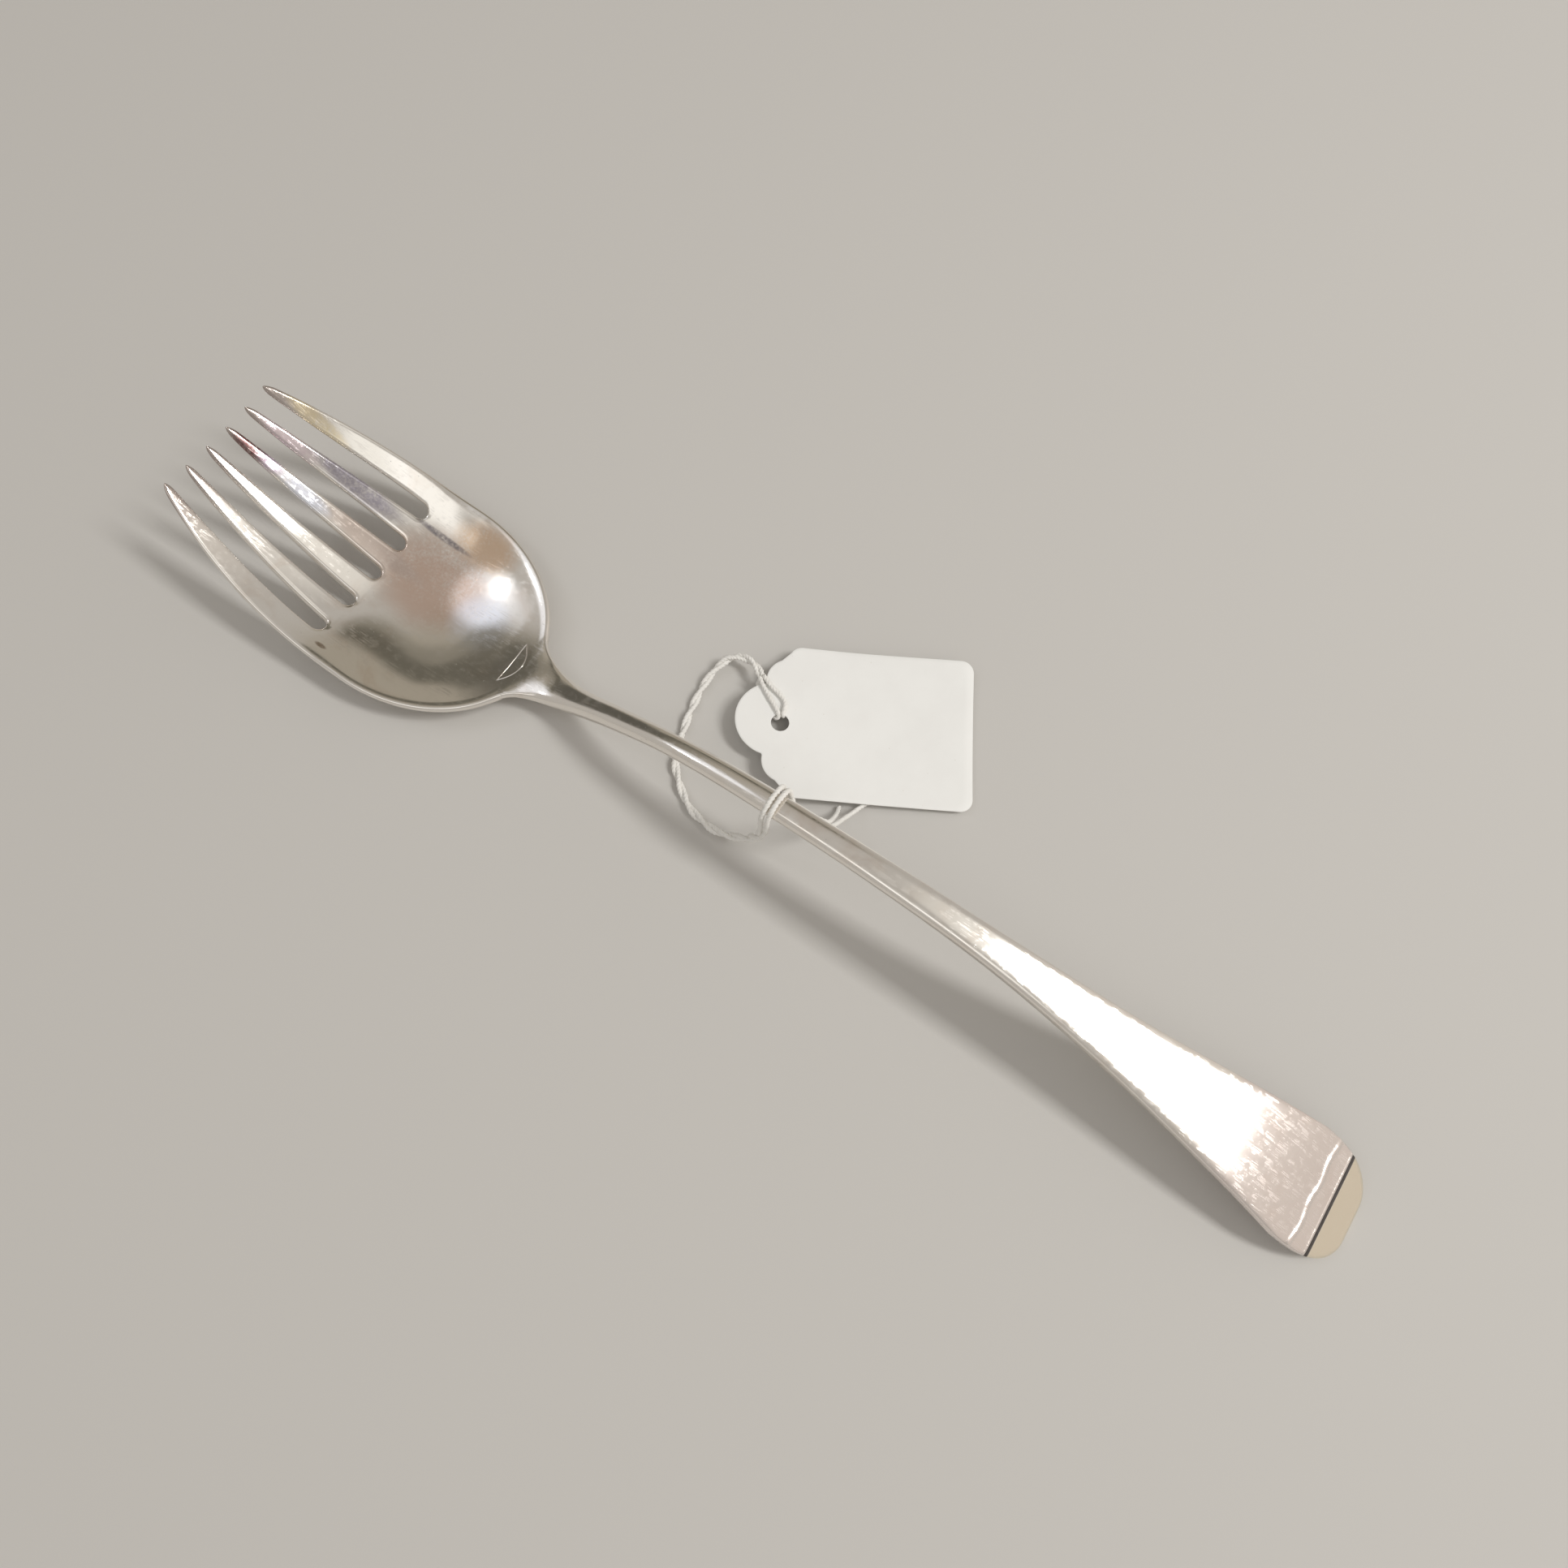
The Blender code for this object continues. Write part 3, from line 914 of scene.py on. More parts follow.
@dataclass
class Head:
    """Bowl and six tines."""

    tines: int = 6
    tip: float = 0.4
    slot_end: float = 33.0
    seam: float = 70.0
    tip_half: float = 0.5
    root_half: float = 2.475
    tip_pitch: float = 5.3
    root_pitch: float = 7.65
    taper: float = 0.6
    fan: float = 1.6
    widest_half: float = 22.1
    tips_half: float = 13.75
    widest: float = 43.25
    heel_length: float = 28.2
    fullness: float = 2.6
    dish: float = 2.2
    sheet: float = 2.4
    rim_thinning: float = 0.42
    tip_thinning: float = 0.45
    edge: float = 0.5
    edge_room: float = 0.44
    lip: float = 0.6
    lip_from: Span = (16.0, 40.0)
    lip_most: float = 2.0
    rim_reach: float = 2.2
    rim_ease: float = 0.75
    rim_from: Span = (18.0, 38.0)
    crown: float = 0.012
    crown_to: Span = (20.0, 37.0)
    twists: tuple[float, ...] = (0.0, -1.5, 0.0, 1.4, 0.6, 0.0)
    twist_to: Span = (16.0, 31.0)
    fillet: Span = (69.0, 73.0)
    fillet_half: float = 5.06
    fillet_slope: float = -0.52
    plate: Span = (66.9, 69.3)
    plate_half: float = 4.7
    plate_points: int = 48
    bead: float = 0.14
    bead_height: float = 0.4
    bead_sides: int = 8
    tip_round: float = 1.6
    tip_least: float = 0.004
    columns: int = 8
    tine_rows: int = 44
    tine_spacing: float = 1.35
    slot_rows: int = 8
    bowl_rows: int = 70
    bowl_spacing: float = 1.3
    edge_steps: int = 6
    step: float = 0.1
    fine_step: float = 0.01
    least_half: float = 0.1
    sharp: float = 50.0
    centre: Profile = Profile(((0.0, 23.8), (10.0, 16.2), (20.0, 10.0), (33.0, 4.0), (44.0, 1.8),
                               (54.0, 1.9), (63.0, 3.6), (70.0, 5.6)))
    rise: Profile = Profile(((0.0, 0.9), (20.0, 3.4), (33.0, 5.2), (44.0, 6.3), (54.0, 5.4), (63.0, 3.0),
                             (70.0, 0.5)))
    weight: Profile = Profile(((0.0, 0.45), (10.0, 0.68), (33.0, 0.86), (50.0, 0.86), (70.0, 1.0)))

    def half_width(self, s: Number) -> np.ndarray:
        """Half width of the outline.

        Args:
            s: Station or stations.

        Returns:
            The half width at each station.
        """
        s = np.asarray(s, float)
        ahead = np.clip(self.widest - s, 0.0, None) / self.widest
        front = self.widest_half - (self.widest_half - self.tips_half) * ahead ** self.fullness
        back = self.heel_half(np.minimum(s, self.fillet[0]))
        return np.where(s < self.widest, front, np.where(s < self.fillet[0], back, self.fillet_line(s)))

    def heel_half(self, s: Number) -> np.ndarray:
        """Half width of the round end of the bowl."""
        return self.widest_half * np.sqrt(np.clip(1 - ((s - self.widest) / self.heel_length) ** 2, 0.0, None))

    def fillet_line(self, s: Number) -> np.ndarray:
        """Half width where the bowl runs into the handle.

        Args:
            s: Station or stations.

        Returns:
            The half width at each station.
        """
        start, end = self.fillet
        share = np.clip((s - start) / (end - start), 0.0, 1.0)
        first = float(self.heel_half(start))
        slope = (first - float(self.heel_half(start - self.fine_step))) / self.fine_step
        return ease(share, end - start, (first, self.fillet_half), (slope, self.fillet_slope))

    def top(self, s: Number, y: Number) -> np.ndarray:
        """Height of the upper face.

        Args:
            s: Station or stations.
            y: Place or places across.

        Returns:
            The height at each place.
        """
        half = np.maximum(self.half_width(s), self.least_half)
        share = np.minimum(np.abs(y) / half, 1.0)
        reach = self.rim_inset(s) / self.lip * self.rim_reach
        level = np.clip(1 - (half - np.abs(y)) / reach, 0.0, 1.0) * smoothstep(*self.rim_from, s)
        eased = self.rim_ease * reach / half * level * level
        return self.centre(s) + self.rise(s) * (share ** self.dish - eased)

    def thickness(self, s: Number, y: Number) -> np.ndarray:
        """Thickness of the metal, thinner at the rim and towards the tips."""
        share = np.minimum(np.abs(y) / np.maximum(self.half_width(s), self.least_half), 1.0)
        return self.sheet * self.weight(s) * (1 - self.rim_thinning * share * share)

    def along_tine(self, s: Number) -> np.ndarray:
        """Share of the way from the tips to the ends of the slots."""
        return np.clip((np.asarray(s, float) - self.tip) / (self.slot_end - self.tip), 0.0, 1.0)

    def pitch(self, s: Number) -> np.ndarray:
        """Distance between neighbouring tines."""
        share = 1 - (1 - self.along_tine(s)) ** self.fan
        return self.tip_pitch + (self.root_pitch - self.tip_pitch) * share

    def tine_half(self, s: Number) -> np.ndarray:
        """Half width of an inner tine."""
        return self.tip_half + (self.root_half - self.tip_half) * self.along_tine(s) ** self.taper

    def normal(self, s: np.ndarray, y: np.ndarray) -> np.ndarray:
        """Direction square to the upper face.

        Args:
            s: Stations.
            y: Places across.

        Returns:
            The direction at each place.
        """
        step = self.step
        along = (self.top(s + step, y) - self.top(s - step, y)) / (2 * step)
        across = (self.top(s, y + step) - self.top(s, y - step)) / (2 * step)
        return unit(np.stack([-along, -across, np.ones_like(along)], axis=-1))

    def rim_inset(self, s: Number) -> np.ndarray:
        """How far the rounded lip reaches in from the outline, measured across.

        Args:
            s: Station or stations.

        Returns:
            The reach at each station.
        """
        slope = (self.half_width(s + self.step) - self.half_width(s - self.step)) / (2 * self.step)
        lip = self.edge + (self.lip - self.edge) * smoothstep(*self.lip_from, s)
        return lip * np.clip(np.sqrt(1 + slope * slope), 1.0, self.lip_most)

    def strip(self, tine: int) -> Strip:
        """Lines of a tine and of the bowl behind it.

        Args:
            tine: Number of the tine from the -Y side.

        Returns:
            The lines.
        """
        last = self.tines - 1
        start = self.slot_end - self.root_pitch / 2 + self.root_half
        root = float(self.pitch(start) / 2 - self.tine_half(start))
        quarter = np.linspace(0.0, math.pi / 2, self.slot_rows + 1)[1:]
        s_tine = self.tip + (start - self.tip) * np.linspace(0.0, 1.0, self.tine_rows) ** self.tine_spacing
        s_slot = start + (root + self.edge) * np.sin(quarter)
        slot_last = s_slot[-1]
        back = 1 - (1 - np.linspace(0.0, 1.0, self.bowl_rows + 1)[1:]) ** self.bowl_spacing
        s = np.concatenate([s_tine, s_slot, slot_last + (self.seam - slot_last) * back])
        in_tine = s <= start
        tip_share = np.minimum((s - self.tip) / self.tip_round, 1.0)
        point = np.sqrt(np.clip(1 - (1 - tip_share) ** 2, self.tip_least, 1.0))
        middle = (tine - last / 2) * self.pitch(s)
        spread = self.half_width(s) / self.half_width(slot_last)
        turn = np.concatenate([np.zeros(self.tine_rows), quarter, np.full(self.bowl_rows, math.pi / 2)])
        edges, insets, turns = [], [], []
        rims = (tine == 0, tine == last)
        for is_rim, side in zip(rims, (-1.0, 1.0)):
            boundary = (tine - last / 2 + side / 2) * self.pitch(s)
            straight = middle + side * self.tine_half(s) * point
            curved = boundary - side * root * np.cos(turn)
            inner = np.where(in_tine, straight, np.where(s <= slot_last, curved, boundary * spread))
            outer = side * self.half_width(s)
            outer = np.where(in_tine, middle + (outer - middle) * point, outer)
            edges.append(outer if is_rim else inner)
            insets.append(self.rim_inset(s) if is_rim else np.full_like(s, self.edge))
            turns.append(np.zeros_like(s) if is_rim else turn)
        room = self.edge_room * (edges[1] - edges[0])
        insets = [np.where(in_tine, np.minimum(inset, room), inset) for inset in insets]
        return Strip(tine, s, tuple(edges), tuple(insets), tuple(turns), rims)

    def faces(self, strip: Strip) -> tuple[np.ndarray, np.ndarray]:
        """Points of the upper and the lower face of a strip.

        Args:
            strip: Its lines.

        Returns:
            Upper and lower points.
        """
        first = strip.edges[0] + strip.insets[0] * np.cos(strip.turns[0])
        final = strip.edges[1] - strip.insets[1] * np.cos(strip.turns[1])
        share = np.linspace(0.0, 1.0, self.columns + 1)
        y = first[:, None] + (final - first)[:, None] * share
        s = np.repeat(strip.s[:, None], self.columns + 1, axis=1)
        arch = self.crown * (1 - (2 * share - 1) ** 2) * (1 - smoothstep(*self.crown_to, s))
        lean = math.tan(math.radians(self.twists[strip.tine])) * (1 - smoothstep(*self.twist_to, s))
        arch = arch + lean * (y - y.mean(axis=1, keepdims=True))
        upper = np.stack([s, y, self.top(s, y) + arch], axis=-1)
        thin = self.tip_thinning * (1 - smoothstep(self.tip, self.tip + 2 * self.tip_round, s))
        lower = upper - self.normal(s, y) * (self.thickness(s, y) * (1 - thin))[..., None]
        lower[..., 2] = np.maximum(lower[..., 2], 0.0)
        return upper, lower

    def edge_strip(self, upper: np.ndarray, lower: np.ndarray, reach: np.ndarray, turn: np.ndarray,
                   side: float) -> np.ndarray:
        """Rounded edge between the two faces.

        Args:
            upper: Edge points of the upper face.
            lower: Edge points of the lower face.
            reach: How far the edge bulges.
            turn: Turn of each row's outward direction towards the tips, in radians.
            side: -1 for the edge on the -Y side of a tine and 1 for the other one.

        Returns:
            Rows of points from the upper to the lower face.
        """
        angle = np.linspace(math.pi / 2, -math.pi / 2, self.edge_steps + 1)[:, None]
        half = (upper - lower) / 2
        out = np.stack([-np.sin(turn), side * np.cos(turn), np.zeros_like(turn)], axis=-1)
        axis = unit(half)
        out = (out - axis * np.sum(out * axis, axis=-1, keepdims=True)) * reach[:, None]
        return (upper + lower)[:, None] / 2 + half[:, None] * np.sin(angle) + out[:, None] * np.cos(angle)

    def add_plate(self, skin: Skin) -> None:
        """Add the fine raised line round the pointed plate at the heel.

        Args:
            skin: Mesh to add to.
        """
        y = self.plate_half * np.linspace(-1.0, 1.0, self.plate_points)
        near, far = self.plate
        straight = np.column_stack([np.full_like(y, near), y])
        bowed = np.column_stack([near + (far - near) * (1 - (y / self.plate_half) ** 2), y])
        s, y = np.concatenate([straight, bowed[-2:0:-1]]).T
        line = np.column_stack([s, y, self.top(s, y)])
        ahead = unit(np.roll(line, -1, axis=0) - np.roll(line, 1, axis=0))
        up = self.normal(s, y)
        aside = np.cross(ahead, up)
        angle = 2 * math.pi * np.arange(self.bead_sides)[:, None] / self.bead_sides
        around = aside[:, None] * np.cos(angle) + self.bead_height * up[:, None] * np.sin(angle)
        rings = line[:, None] + self.bead * around
        skin.patch(np.concatenate([rings, rings[:1]]), closed=True)

    def build(self, finish: bpy.types.Material) -> bpy.types.Object:
        """Build the head.

        Args:
            finish: Material of the silver.

        Returns:
            The piece, riding with the fork.
        """
        skin = Skin()
        free = self.tine_rows + self.slot_rows
        for tine in range(self.tines):
            strip = self.strip(tine)
            upper, lower = self.faces(strip)
            skin.patch(upper)
            skin.patch(lower)
            skin.patch(np.stack([upper[-1], lower[-1]]))
            walls = []
            for side in (0, 1):
                edges = upper[:, -side], lower[:, -side]
                wall = self.edge_strip(*edges, strip.insets[side], strip.turns[side], 2.0 * side - 1)
                walls.append(wall if strip.rims[side] else wall[:free])
                skin.patch(walls[side])
                if strip.rims[side]:
                    skin.cap(wall[-1])
            left, right = (wall[0][1:-1] for wall in walls)
            skin.cap(np.concatenate([upper[0], right, lower[0][::-1], left[::-1]]))
        self.add_plate(skin)
        made = skin.piece("silver_head", finish, self.sharp, Slot.BOWL, "fork_head")
        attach(made, Body.FORK.value)
        return made


@dataclass
class Handle:
    """Stem, flat and turned-down end."""

    head: Head
    start: float = 70.0
    length: float = 251.0
    end_from: float = 238.0
    end_half: float = 10.6
    end_power: float = 2.8
    end_most: float = 0.99999
    crease: float = 244.9
    crease_top: float = 4.5
    end_top: float = 1.0
    end_round: float = 0.8
    groove: float = 0.16
    groove_half: float = 0.36
    burr: float = 0.05
    burr_back: float = 0.62
    burr_half: float = 0.16
    streak: float = 0.19
    streak_at: float = 241.0
    streak_half: float = 0.45
    streak_level: float = 0.88
    streak_ripples: tuple[Point, ...] = ((0.12, 0.9, 2.4), (0.10, 2.3, 0.0))
    streak_sway: Span = (0.25, 0.8)
    neck_end: float = 84.0
    seam_gap: float = 0.02
    neck_rings: int = 44
    stem_rings: int = 150
    flat_rings: int = 48
    fold_rings: int = 29
    end_rings: int = 22
    end_share: float = 0.995
    fold_half: float = 0.7
    fold_gaps: Span = (0.8, 0.9)
    fold_reach: float = 0.75
    fold_back: float = 0.4
    step: float = 0.2
    ring: int = 112
    flow: float = 8.0
    look_back: float = 0.3
    sharp: float = 28.0
    crown_line: Profile = Profile(((70.0, 5.9), (76.0, 6.8), (80.0, 8.0), (84.0, 9.9), (92.0, 14.3),
                                   (106.0, 20.4), (125.0, 24.2), (150.0, 25.4), (175.0, 23.6),
                                   (200.0, 18.4), (225.0, 12.3), (236.0, 8.6), (244.9, 4.5)))
    halves: Profile = Profile(((70.0, 7.0), (71.5, 5.9), (73.5, 4.8), (76.0, 3.8), (80.0, 2.95),
                               (84.0, 2.5), (92.0, 2.2), (106.0, 2.0), (125.0, 2.2), (150.0, 2.5),
                               (175.0, 3.2), (200.0, 5.25), (225.0, 8.7), (238.0, 10.6)))
    depth: Profile = Profile(((70.0, 2.5), (76.0, 3.6), (84.0, 4.1), (106.0, 3.9), (125.0, 3.6),
                              (150.0, 3.3), (200.0, 2.7), (240.0, 2.1), (251.0, 1.6)))
    squareness: Profile = Profile(((70.0, 4.5), (80.0, 2.8), (106.0, 2.6), (150.0, 3.2), (200.0, 7.0),
                                   (251.0, 9.0)))

    def half_width(self, s: np.ndarray) -> np.ndarray:
        """Half width of the outline.

        Args:
            s: Stations.

        Returns:
            The half width at each station.
        """
        share = np.clip((s - self.end_from) / (self.length - self.end_from), 0.0, self.end_most)
        end = self.end_half * (1 - share ** self.end_power) ** (1 / self.end_power)
        flat = np.where(s < self.head.fillet[1], self.head.half_width(s), self.halves(s))
        return np.where(s < self.end_from, flat, end)

    def top(self, s: np.ndarray) -> np.ndarray:
        """Height of the upper face along the middle.

        Args:
            s: Stations.

        Returns:
            The height at each station.
        """
        share = np.clip((s - self.crease) / (self.length - self.crease), 0.0, 1.0)
        turned = self.crease_top + (self.end_top - self.crease_top) * share
        return np.where(s < self.crease, self.crown_line(s), turned)

    def stations(self) -> np.ndarray:
        """Stations of the rings, closer where the shape turns.

        Returns:
            The stations in order.
        """
        neck = np.linspace(self.start + self.seam_gap, self.neck_end, self.neck_rings)
        stem = np.linspace(self.neck_end, self.end_from, self.stem_rings)
        flat = np.linspace(self.end_from, self.crease - self.fold_gaps[0], self.flat_rings)
        fold = np.linspace(self.crease - self.fold_half, self.crease + self.fold_half, self.fold_rings)
        left = (1 - np.linspace(0.0, self.end_share, self.end_rings)) ** 2
        end = self.length - (self.length - self.crease - self.fold_gaps[1]) * left
        return np.concatenate([neck, stem[1:], flat[1:], fold, end])

    def heel(self, station: float, across: np.ndarray, upper: np.ndarray) -> np.ndarray:
        """Height of the head's own section.

        Args:
            station: Where the section is taken.
            across: Place across, as a share of the half width.
            upper: True on the upper face.

        Returns:
            The height.
        """
        head = self.head
        half = float(head.half_width(station))
        inset = float(head.rim_inset(station))
        edge = half - inset
        y = np.minimum(np.abs(across) * half, half)
        flat = np.minimum(y, edge)
        top = head.top(station, flat)
        bottom = np.maximum(top - head.thickness(station, flat), 0.0)
        bulge = np.sqrt(np.clip(1 - np.clip((y - edge) / inset, 0.0, 1.0) ** 2, 0.0, 1.0))
        return (top + bottom) / 2 + np.where(upper, 1.0, -1.0) * (top - bottom) / 2 * bulge

    def section(self, power: np.ndarray) -> tuple[np.ndarray, np.ndarray]:
        """Points round sections of unit size, spread over the flats and the rounded corners alike.

        Args:
            power: Squareness of each section.

        Returns:
            Places across and heights, one row for each section.
        """
        flat = 0.5 ** (1 / power) * np.linspace(0.0, 1.0, self.ring // 8 + 1)
        rest = (1 - flat ** power) ** (1 / power)
        across = np.concatenate([flat, rest[:, -2::-1]], axis=1)
        height = np.concatenate([rest, flat[:, -2::-1]], axis=1)
        ahead, back = across[:, :-1], across[:, :0:-1]
        down, up = height[:, :-1], height[:, :0:-1]
        places = np.concatenate([ahead, back, -ahead, -back], axis=1)
        return places, np.concatenate([down, -up, -down, up], axis=1)

    def relief(self, s: np.ndarray, across: np.ndarray) -> np.ndarray:
        """Fine heights of the upper face: the groove and the burr of the crease, and the worn streak.

        Args:
            s: Stations of the rings.
            across: Places across, one row for each ring.

        Returns:
            The heights to add, in the same rows.
        """
        cut = self.groove * np.clip(1 - np.abs(s - self.crease) / self.groove_half, 0.0, 1.0)
        burr = self.burr * np.exp(-(((s - self.crease + self.burr_back) / self.burr_half) ** 2))
        ripples = [size * np.sin(rate * across + phase) for size, rate, phase in self.streak_ripples]
        sway = self.streak_sway[0] * np.sin(self.streak_sway[1] * across)
        off = (s[:, None] - self.streak_at - sway) / self.streak_half
        streak = self.streak * (self.streak_level + sum(ripples)) * np.exp(-(off ** 2))
        return (burr - cut)[:, None] + streak

    def rings(self) -> np.ndarray:
        """Points round the handle at each station.

        Returns:
            Array of rings.
        """
        s = self.stations()
        slope = np.arctan2(self.top(s + self.step) - self.top(s - self.step), 2 * self.step)
        drop = self.crown_line(self.crease) - self.crown_line(self.crease - self.fold_back)
        in_fold = np.abs(s - self.crease) < self.fold_reach
        slope = np.where(in_fold, np.arctan2(drop, self.fold_back), slope)[:, None]
        share, lift = self.section(self.squareness(s)[:, None])
        upper = lift > 0
        over = np.clip((s - self.length + self.end_round) / self.end_round, 0.0, 1.0)
        turn_in = np.sqrt(np.clip(1 - over ** 2, 0.0, 1.0))[:, None]
        across = self.half_width(s)[:, None] * share
        up = (self.depth(s) / 2)[:, None] * (lift * turn_in - 1)
        up = up + self.relief(s, across) * upper
        along = s[:, None] - up * np.sin(slope)
        height = self.top(s)[:, None] + up * np.cos(slope)
        fade = 1 - smoothstep(self.start, self.start + self.flow, s)[:, None]
        seam = self.heel(self.start, share, upper)
        before = self.heel(self.start - self.look_back, share, upper)
        onward = seam + (seam - before) * (s - self.start)[:, None] / self.look_back
        height = height + fade * (onward - height)
        along = along + fade * (s[:, None] - along)
        return np.stack([along, across, np.maximum(height, 0.0)], axis=-1)

    def build(self, finish: bpy.types.Material) -> bpy.types.Object:
        """Build the handle.

        Args:
            finish: Material of the silver.

        Returns:
            The piece, riding with the fork.
        """
        skin = Skin()
        skin.tube(self.rings())
        made = skin.piece("silver_handle", finish, self.sharp, Slot.HANDLE, "handle")
        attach(made, Body.FORK.value)
        return made


@dataclass
class Tag:
    """Blank card with a punched hole."""

    hole_at: Point = (116.5, 20.55, 3.35)
    turn: float = 30.8
    slope: float = 3.5
    thickness: float = 0.42
    end: float = 38.2
    shoulder: float = 2.4
    shoulder_turn: float = 150.0
    half: float = 15.9
    corner: float = 2.6
    cusp: Span = (-3.3, 7.4)
    lobe_at: float = -1.2
    lobe: float = 7.69
    bump_at: Span = (1.4, 8.4)
    bump: float = 4.6
    bump_turns: Span = (113.0, 188.0)
    hole: float = 1.8
    hole_aside: float = -0.7
    curl: float = 0.55
    curl_from: Span = (12.0, 40.0)
    sway: float = 0.20
    sway_length: float = 9.0
    sway_phase: float = 0.6
    sag: float = 0.25
    rim_inset: float = 0.7
    rings: int = 26
    ring_spacing: float = 1.25
    edge_steps: int = 4
    corner_steps: int = 12
    shoulder_steps: int = 10
    bump_steps: int = 16
    lobe_steps: int = 40
    step: float = 0.9
    sharp: float = 40.0

    def placed(self, points: np.ndarray) -> np.ndarray:
        """Card coordinates to stations."""
        tilt = np.array(Euler((0.0, math.radians(self.slope), math.radians(self.turn))).to_matrix())
        return np.asarray(points, float) @ tilt.T + np.array(self.hole_at)

    def outline(self) -> np.ndarray:
        """Points round the card at even steps.

        Returns:
            Points in the plane of the card, with the hole near the origin.
        """
        inner = self.half - self.corner
        near = self.shoulder + self.corner / 2
        far = self.end - self.corner
        upper = arc((far, inner), self.corner, 0.0, 90.0, self.corner_steps)
        upper += arc((near, inner), self.corner, 90.0, self.shoulder_turn, self.shoulder_steps)
        upper += arc(self.bump_at, self.bump, *self.bump_turns, self.bump_steps)
        lobe = math.degrees(math.atan2(self.cusp[1], self.cusp[0] - self.lobe_at))
        bends = arc((self.lobe_at, 0.0), self.lobe, lobe, 360.0 - lobe, self.lobe_steps)
        bends += [(a, -b) for a, b in reversed(upper)] + upper
        points = []
        for index, point in enumerate(bends):
            after = bends[(index + 1) % len(bends)]
            count = max(1, round(math.dist(point, after) / self.step))
            points += [np.add(point, np.multiply(np.subtract(after, point), k / count)) for k in range(count)]
        return np.array(points)

    def raised(self, plan: np.ndarray, height: np.ndarray) -> np.ndarray:
        """Points in the plane of the card and their heights to stations."""
        return self.placed(np.concatenate([plan, height[..., None]], axis=-1))

    def warp(self, plan: np.ndarray) -> np.ndarray:
        """Height of the slightly bent card.

        Args:
            plan: Points in the plane of the card.

        Returns:
            The height at each point.
        """
        a, b = plan[..., 0], plan[..., 1] / self.half
        curl = self.curl * smoothstep(*self.curl_from, a) * b ** 2
        curl = curl - self.sway * np.sin(a / self.sway_length + self.sway_phase) * b
        return curl - self.sag * np.sin(math.pi * np.clip(a / self.end, 0.0, 1.0))

    def build(self, finish: bpy.types.Material) -> bpy.types.Object:
        """Build the card.

        Args:
            finish: Material of the card.

        Returns:
            The piece, riding with the tag.
        """
        skin = Skin()
        outline = self.outline()
        ahead = unit(np.roll(outline, -1, axis=0) - np.roll(outline, 1, axis=0))
        inward = np.stack([-ahead[:, 1], ahead[:, 0]], axis=-1)
        half = self.thickness / 2
        rim = outline + inward * half * self.rim_inset
        angle = np.arctan2(outline[:, 1] - self.hole_aside, outline[:, 0])
        hole = self.hole * np.stack([np.cos(angle), np.sin(angle)], axis=-1) + (0.0, self.hole_aside)
        share = np.linspace(0.0, 1.0, self.rings) ** self.ring_spacing
        plan = hole + (rim - hole) * share[:, None, None]
        for up in (half, -half):
            skin.patch(self.raised(plan, self.warp(plan) + up), closed=True)
        bulge = np.linspace(math.pi / 2, -math.pi / 2, self.edge_steps + 1)[:, None]
        edge = rim + (outline - rim) * np.cos(bulge)[..., None]
        skin.patch(self.raised(edge, self.warp(rim) + half * np.sin(bulge)), closed=True)
        wall = [self.raised(hole, self.warp(hole) + up) for up in (half, 0.0, -half)]
        skin.patch(np.stack(wall), closed=True)
        made = skin.piece("card_tag", finish, self.sharp, Slot.CARD, "price_tag")
        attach(made, Body.TAG.value)
        return made


@dataclass(frozen=True)
class Path:
    """A smooth line through points."""

    points: tuple[Point, ...]
    step: float = 0.16
    parts: int = 24

    def line(self) -> np.ndarray:
        """Points at even steps along the line.

        Returns:
            Array of points.
        """
        fixed = np.array(self.points, float)
        padded = np.concatenate([[2 * fixed[0] - fixed[1]], fixed, [2 * fixed[-1] - fixed[-2]]])
        t = np.linspace(0.0, 1.0, self.parts, endpoint=False)[:, None]
        pieces = []
        for index in range(len(fixed) - 1):
            a, b, c, d = padded[index:index + 4]
            pieces.append(0.5 * (2 * b + (c - a) * t + (2 * a - 5 * b + 4 * c - d) * t ** 2
                                 + (3 * b - a - 3 * c + d) * t ** 3))
        return even(np.concatenate([*pieces, fixed[-1:]]), self.step)


@dataclass(frozen=True)
class Yarn:
    """One strand of cotton, spun from plies."""

    radius: float = 0.50
    plies: int = 3
    groove: float = 0.13
    turn: float = 2.3
    ring: int = 18
    start: Point = (0.12, 0.31, 0.94)
    slubs: tuple[Point, ...] = ((0.05, 1.7, 1.0), (0.04, 4.1, 2.0))

    def spin(self, skin: Skin, line: np.ndarray, phase: float = 0.0) -> None:
        """Add the strand along a line.

        Args:
            skin: Mesh to add to.
            line: Middle of the strand.
            phase: Start of the twist in radians.
        """
        first, second = sides(line, self.start)
        gone = travel(line)
        angle = 2 * math.pi * np.arange(self.ring) / self.ring
        twist = phase + 2 * math.pi * gone / self.turn
        lobes = 1 - self.groove + self.groove * np.cos(self.plies * (angle[None, :] - twist[:, None]))
        slub = 1 + sum(size * np.sin(gone * rate + phase * share) for size, rate, share in self.slubs)
        radius = self.radius * lobes * slub[:, None]
        around = first[:, None] * np.cos(angle)[:, None] + second[:, None] * np.sin(angle)[:, None]
        skin.tube(line[:, None] + around * radius[..., None])


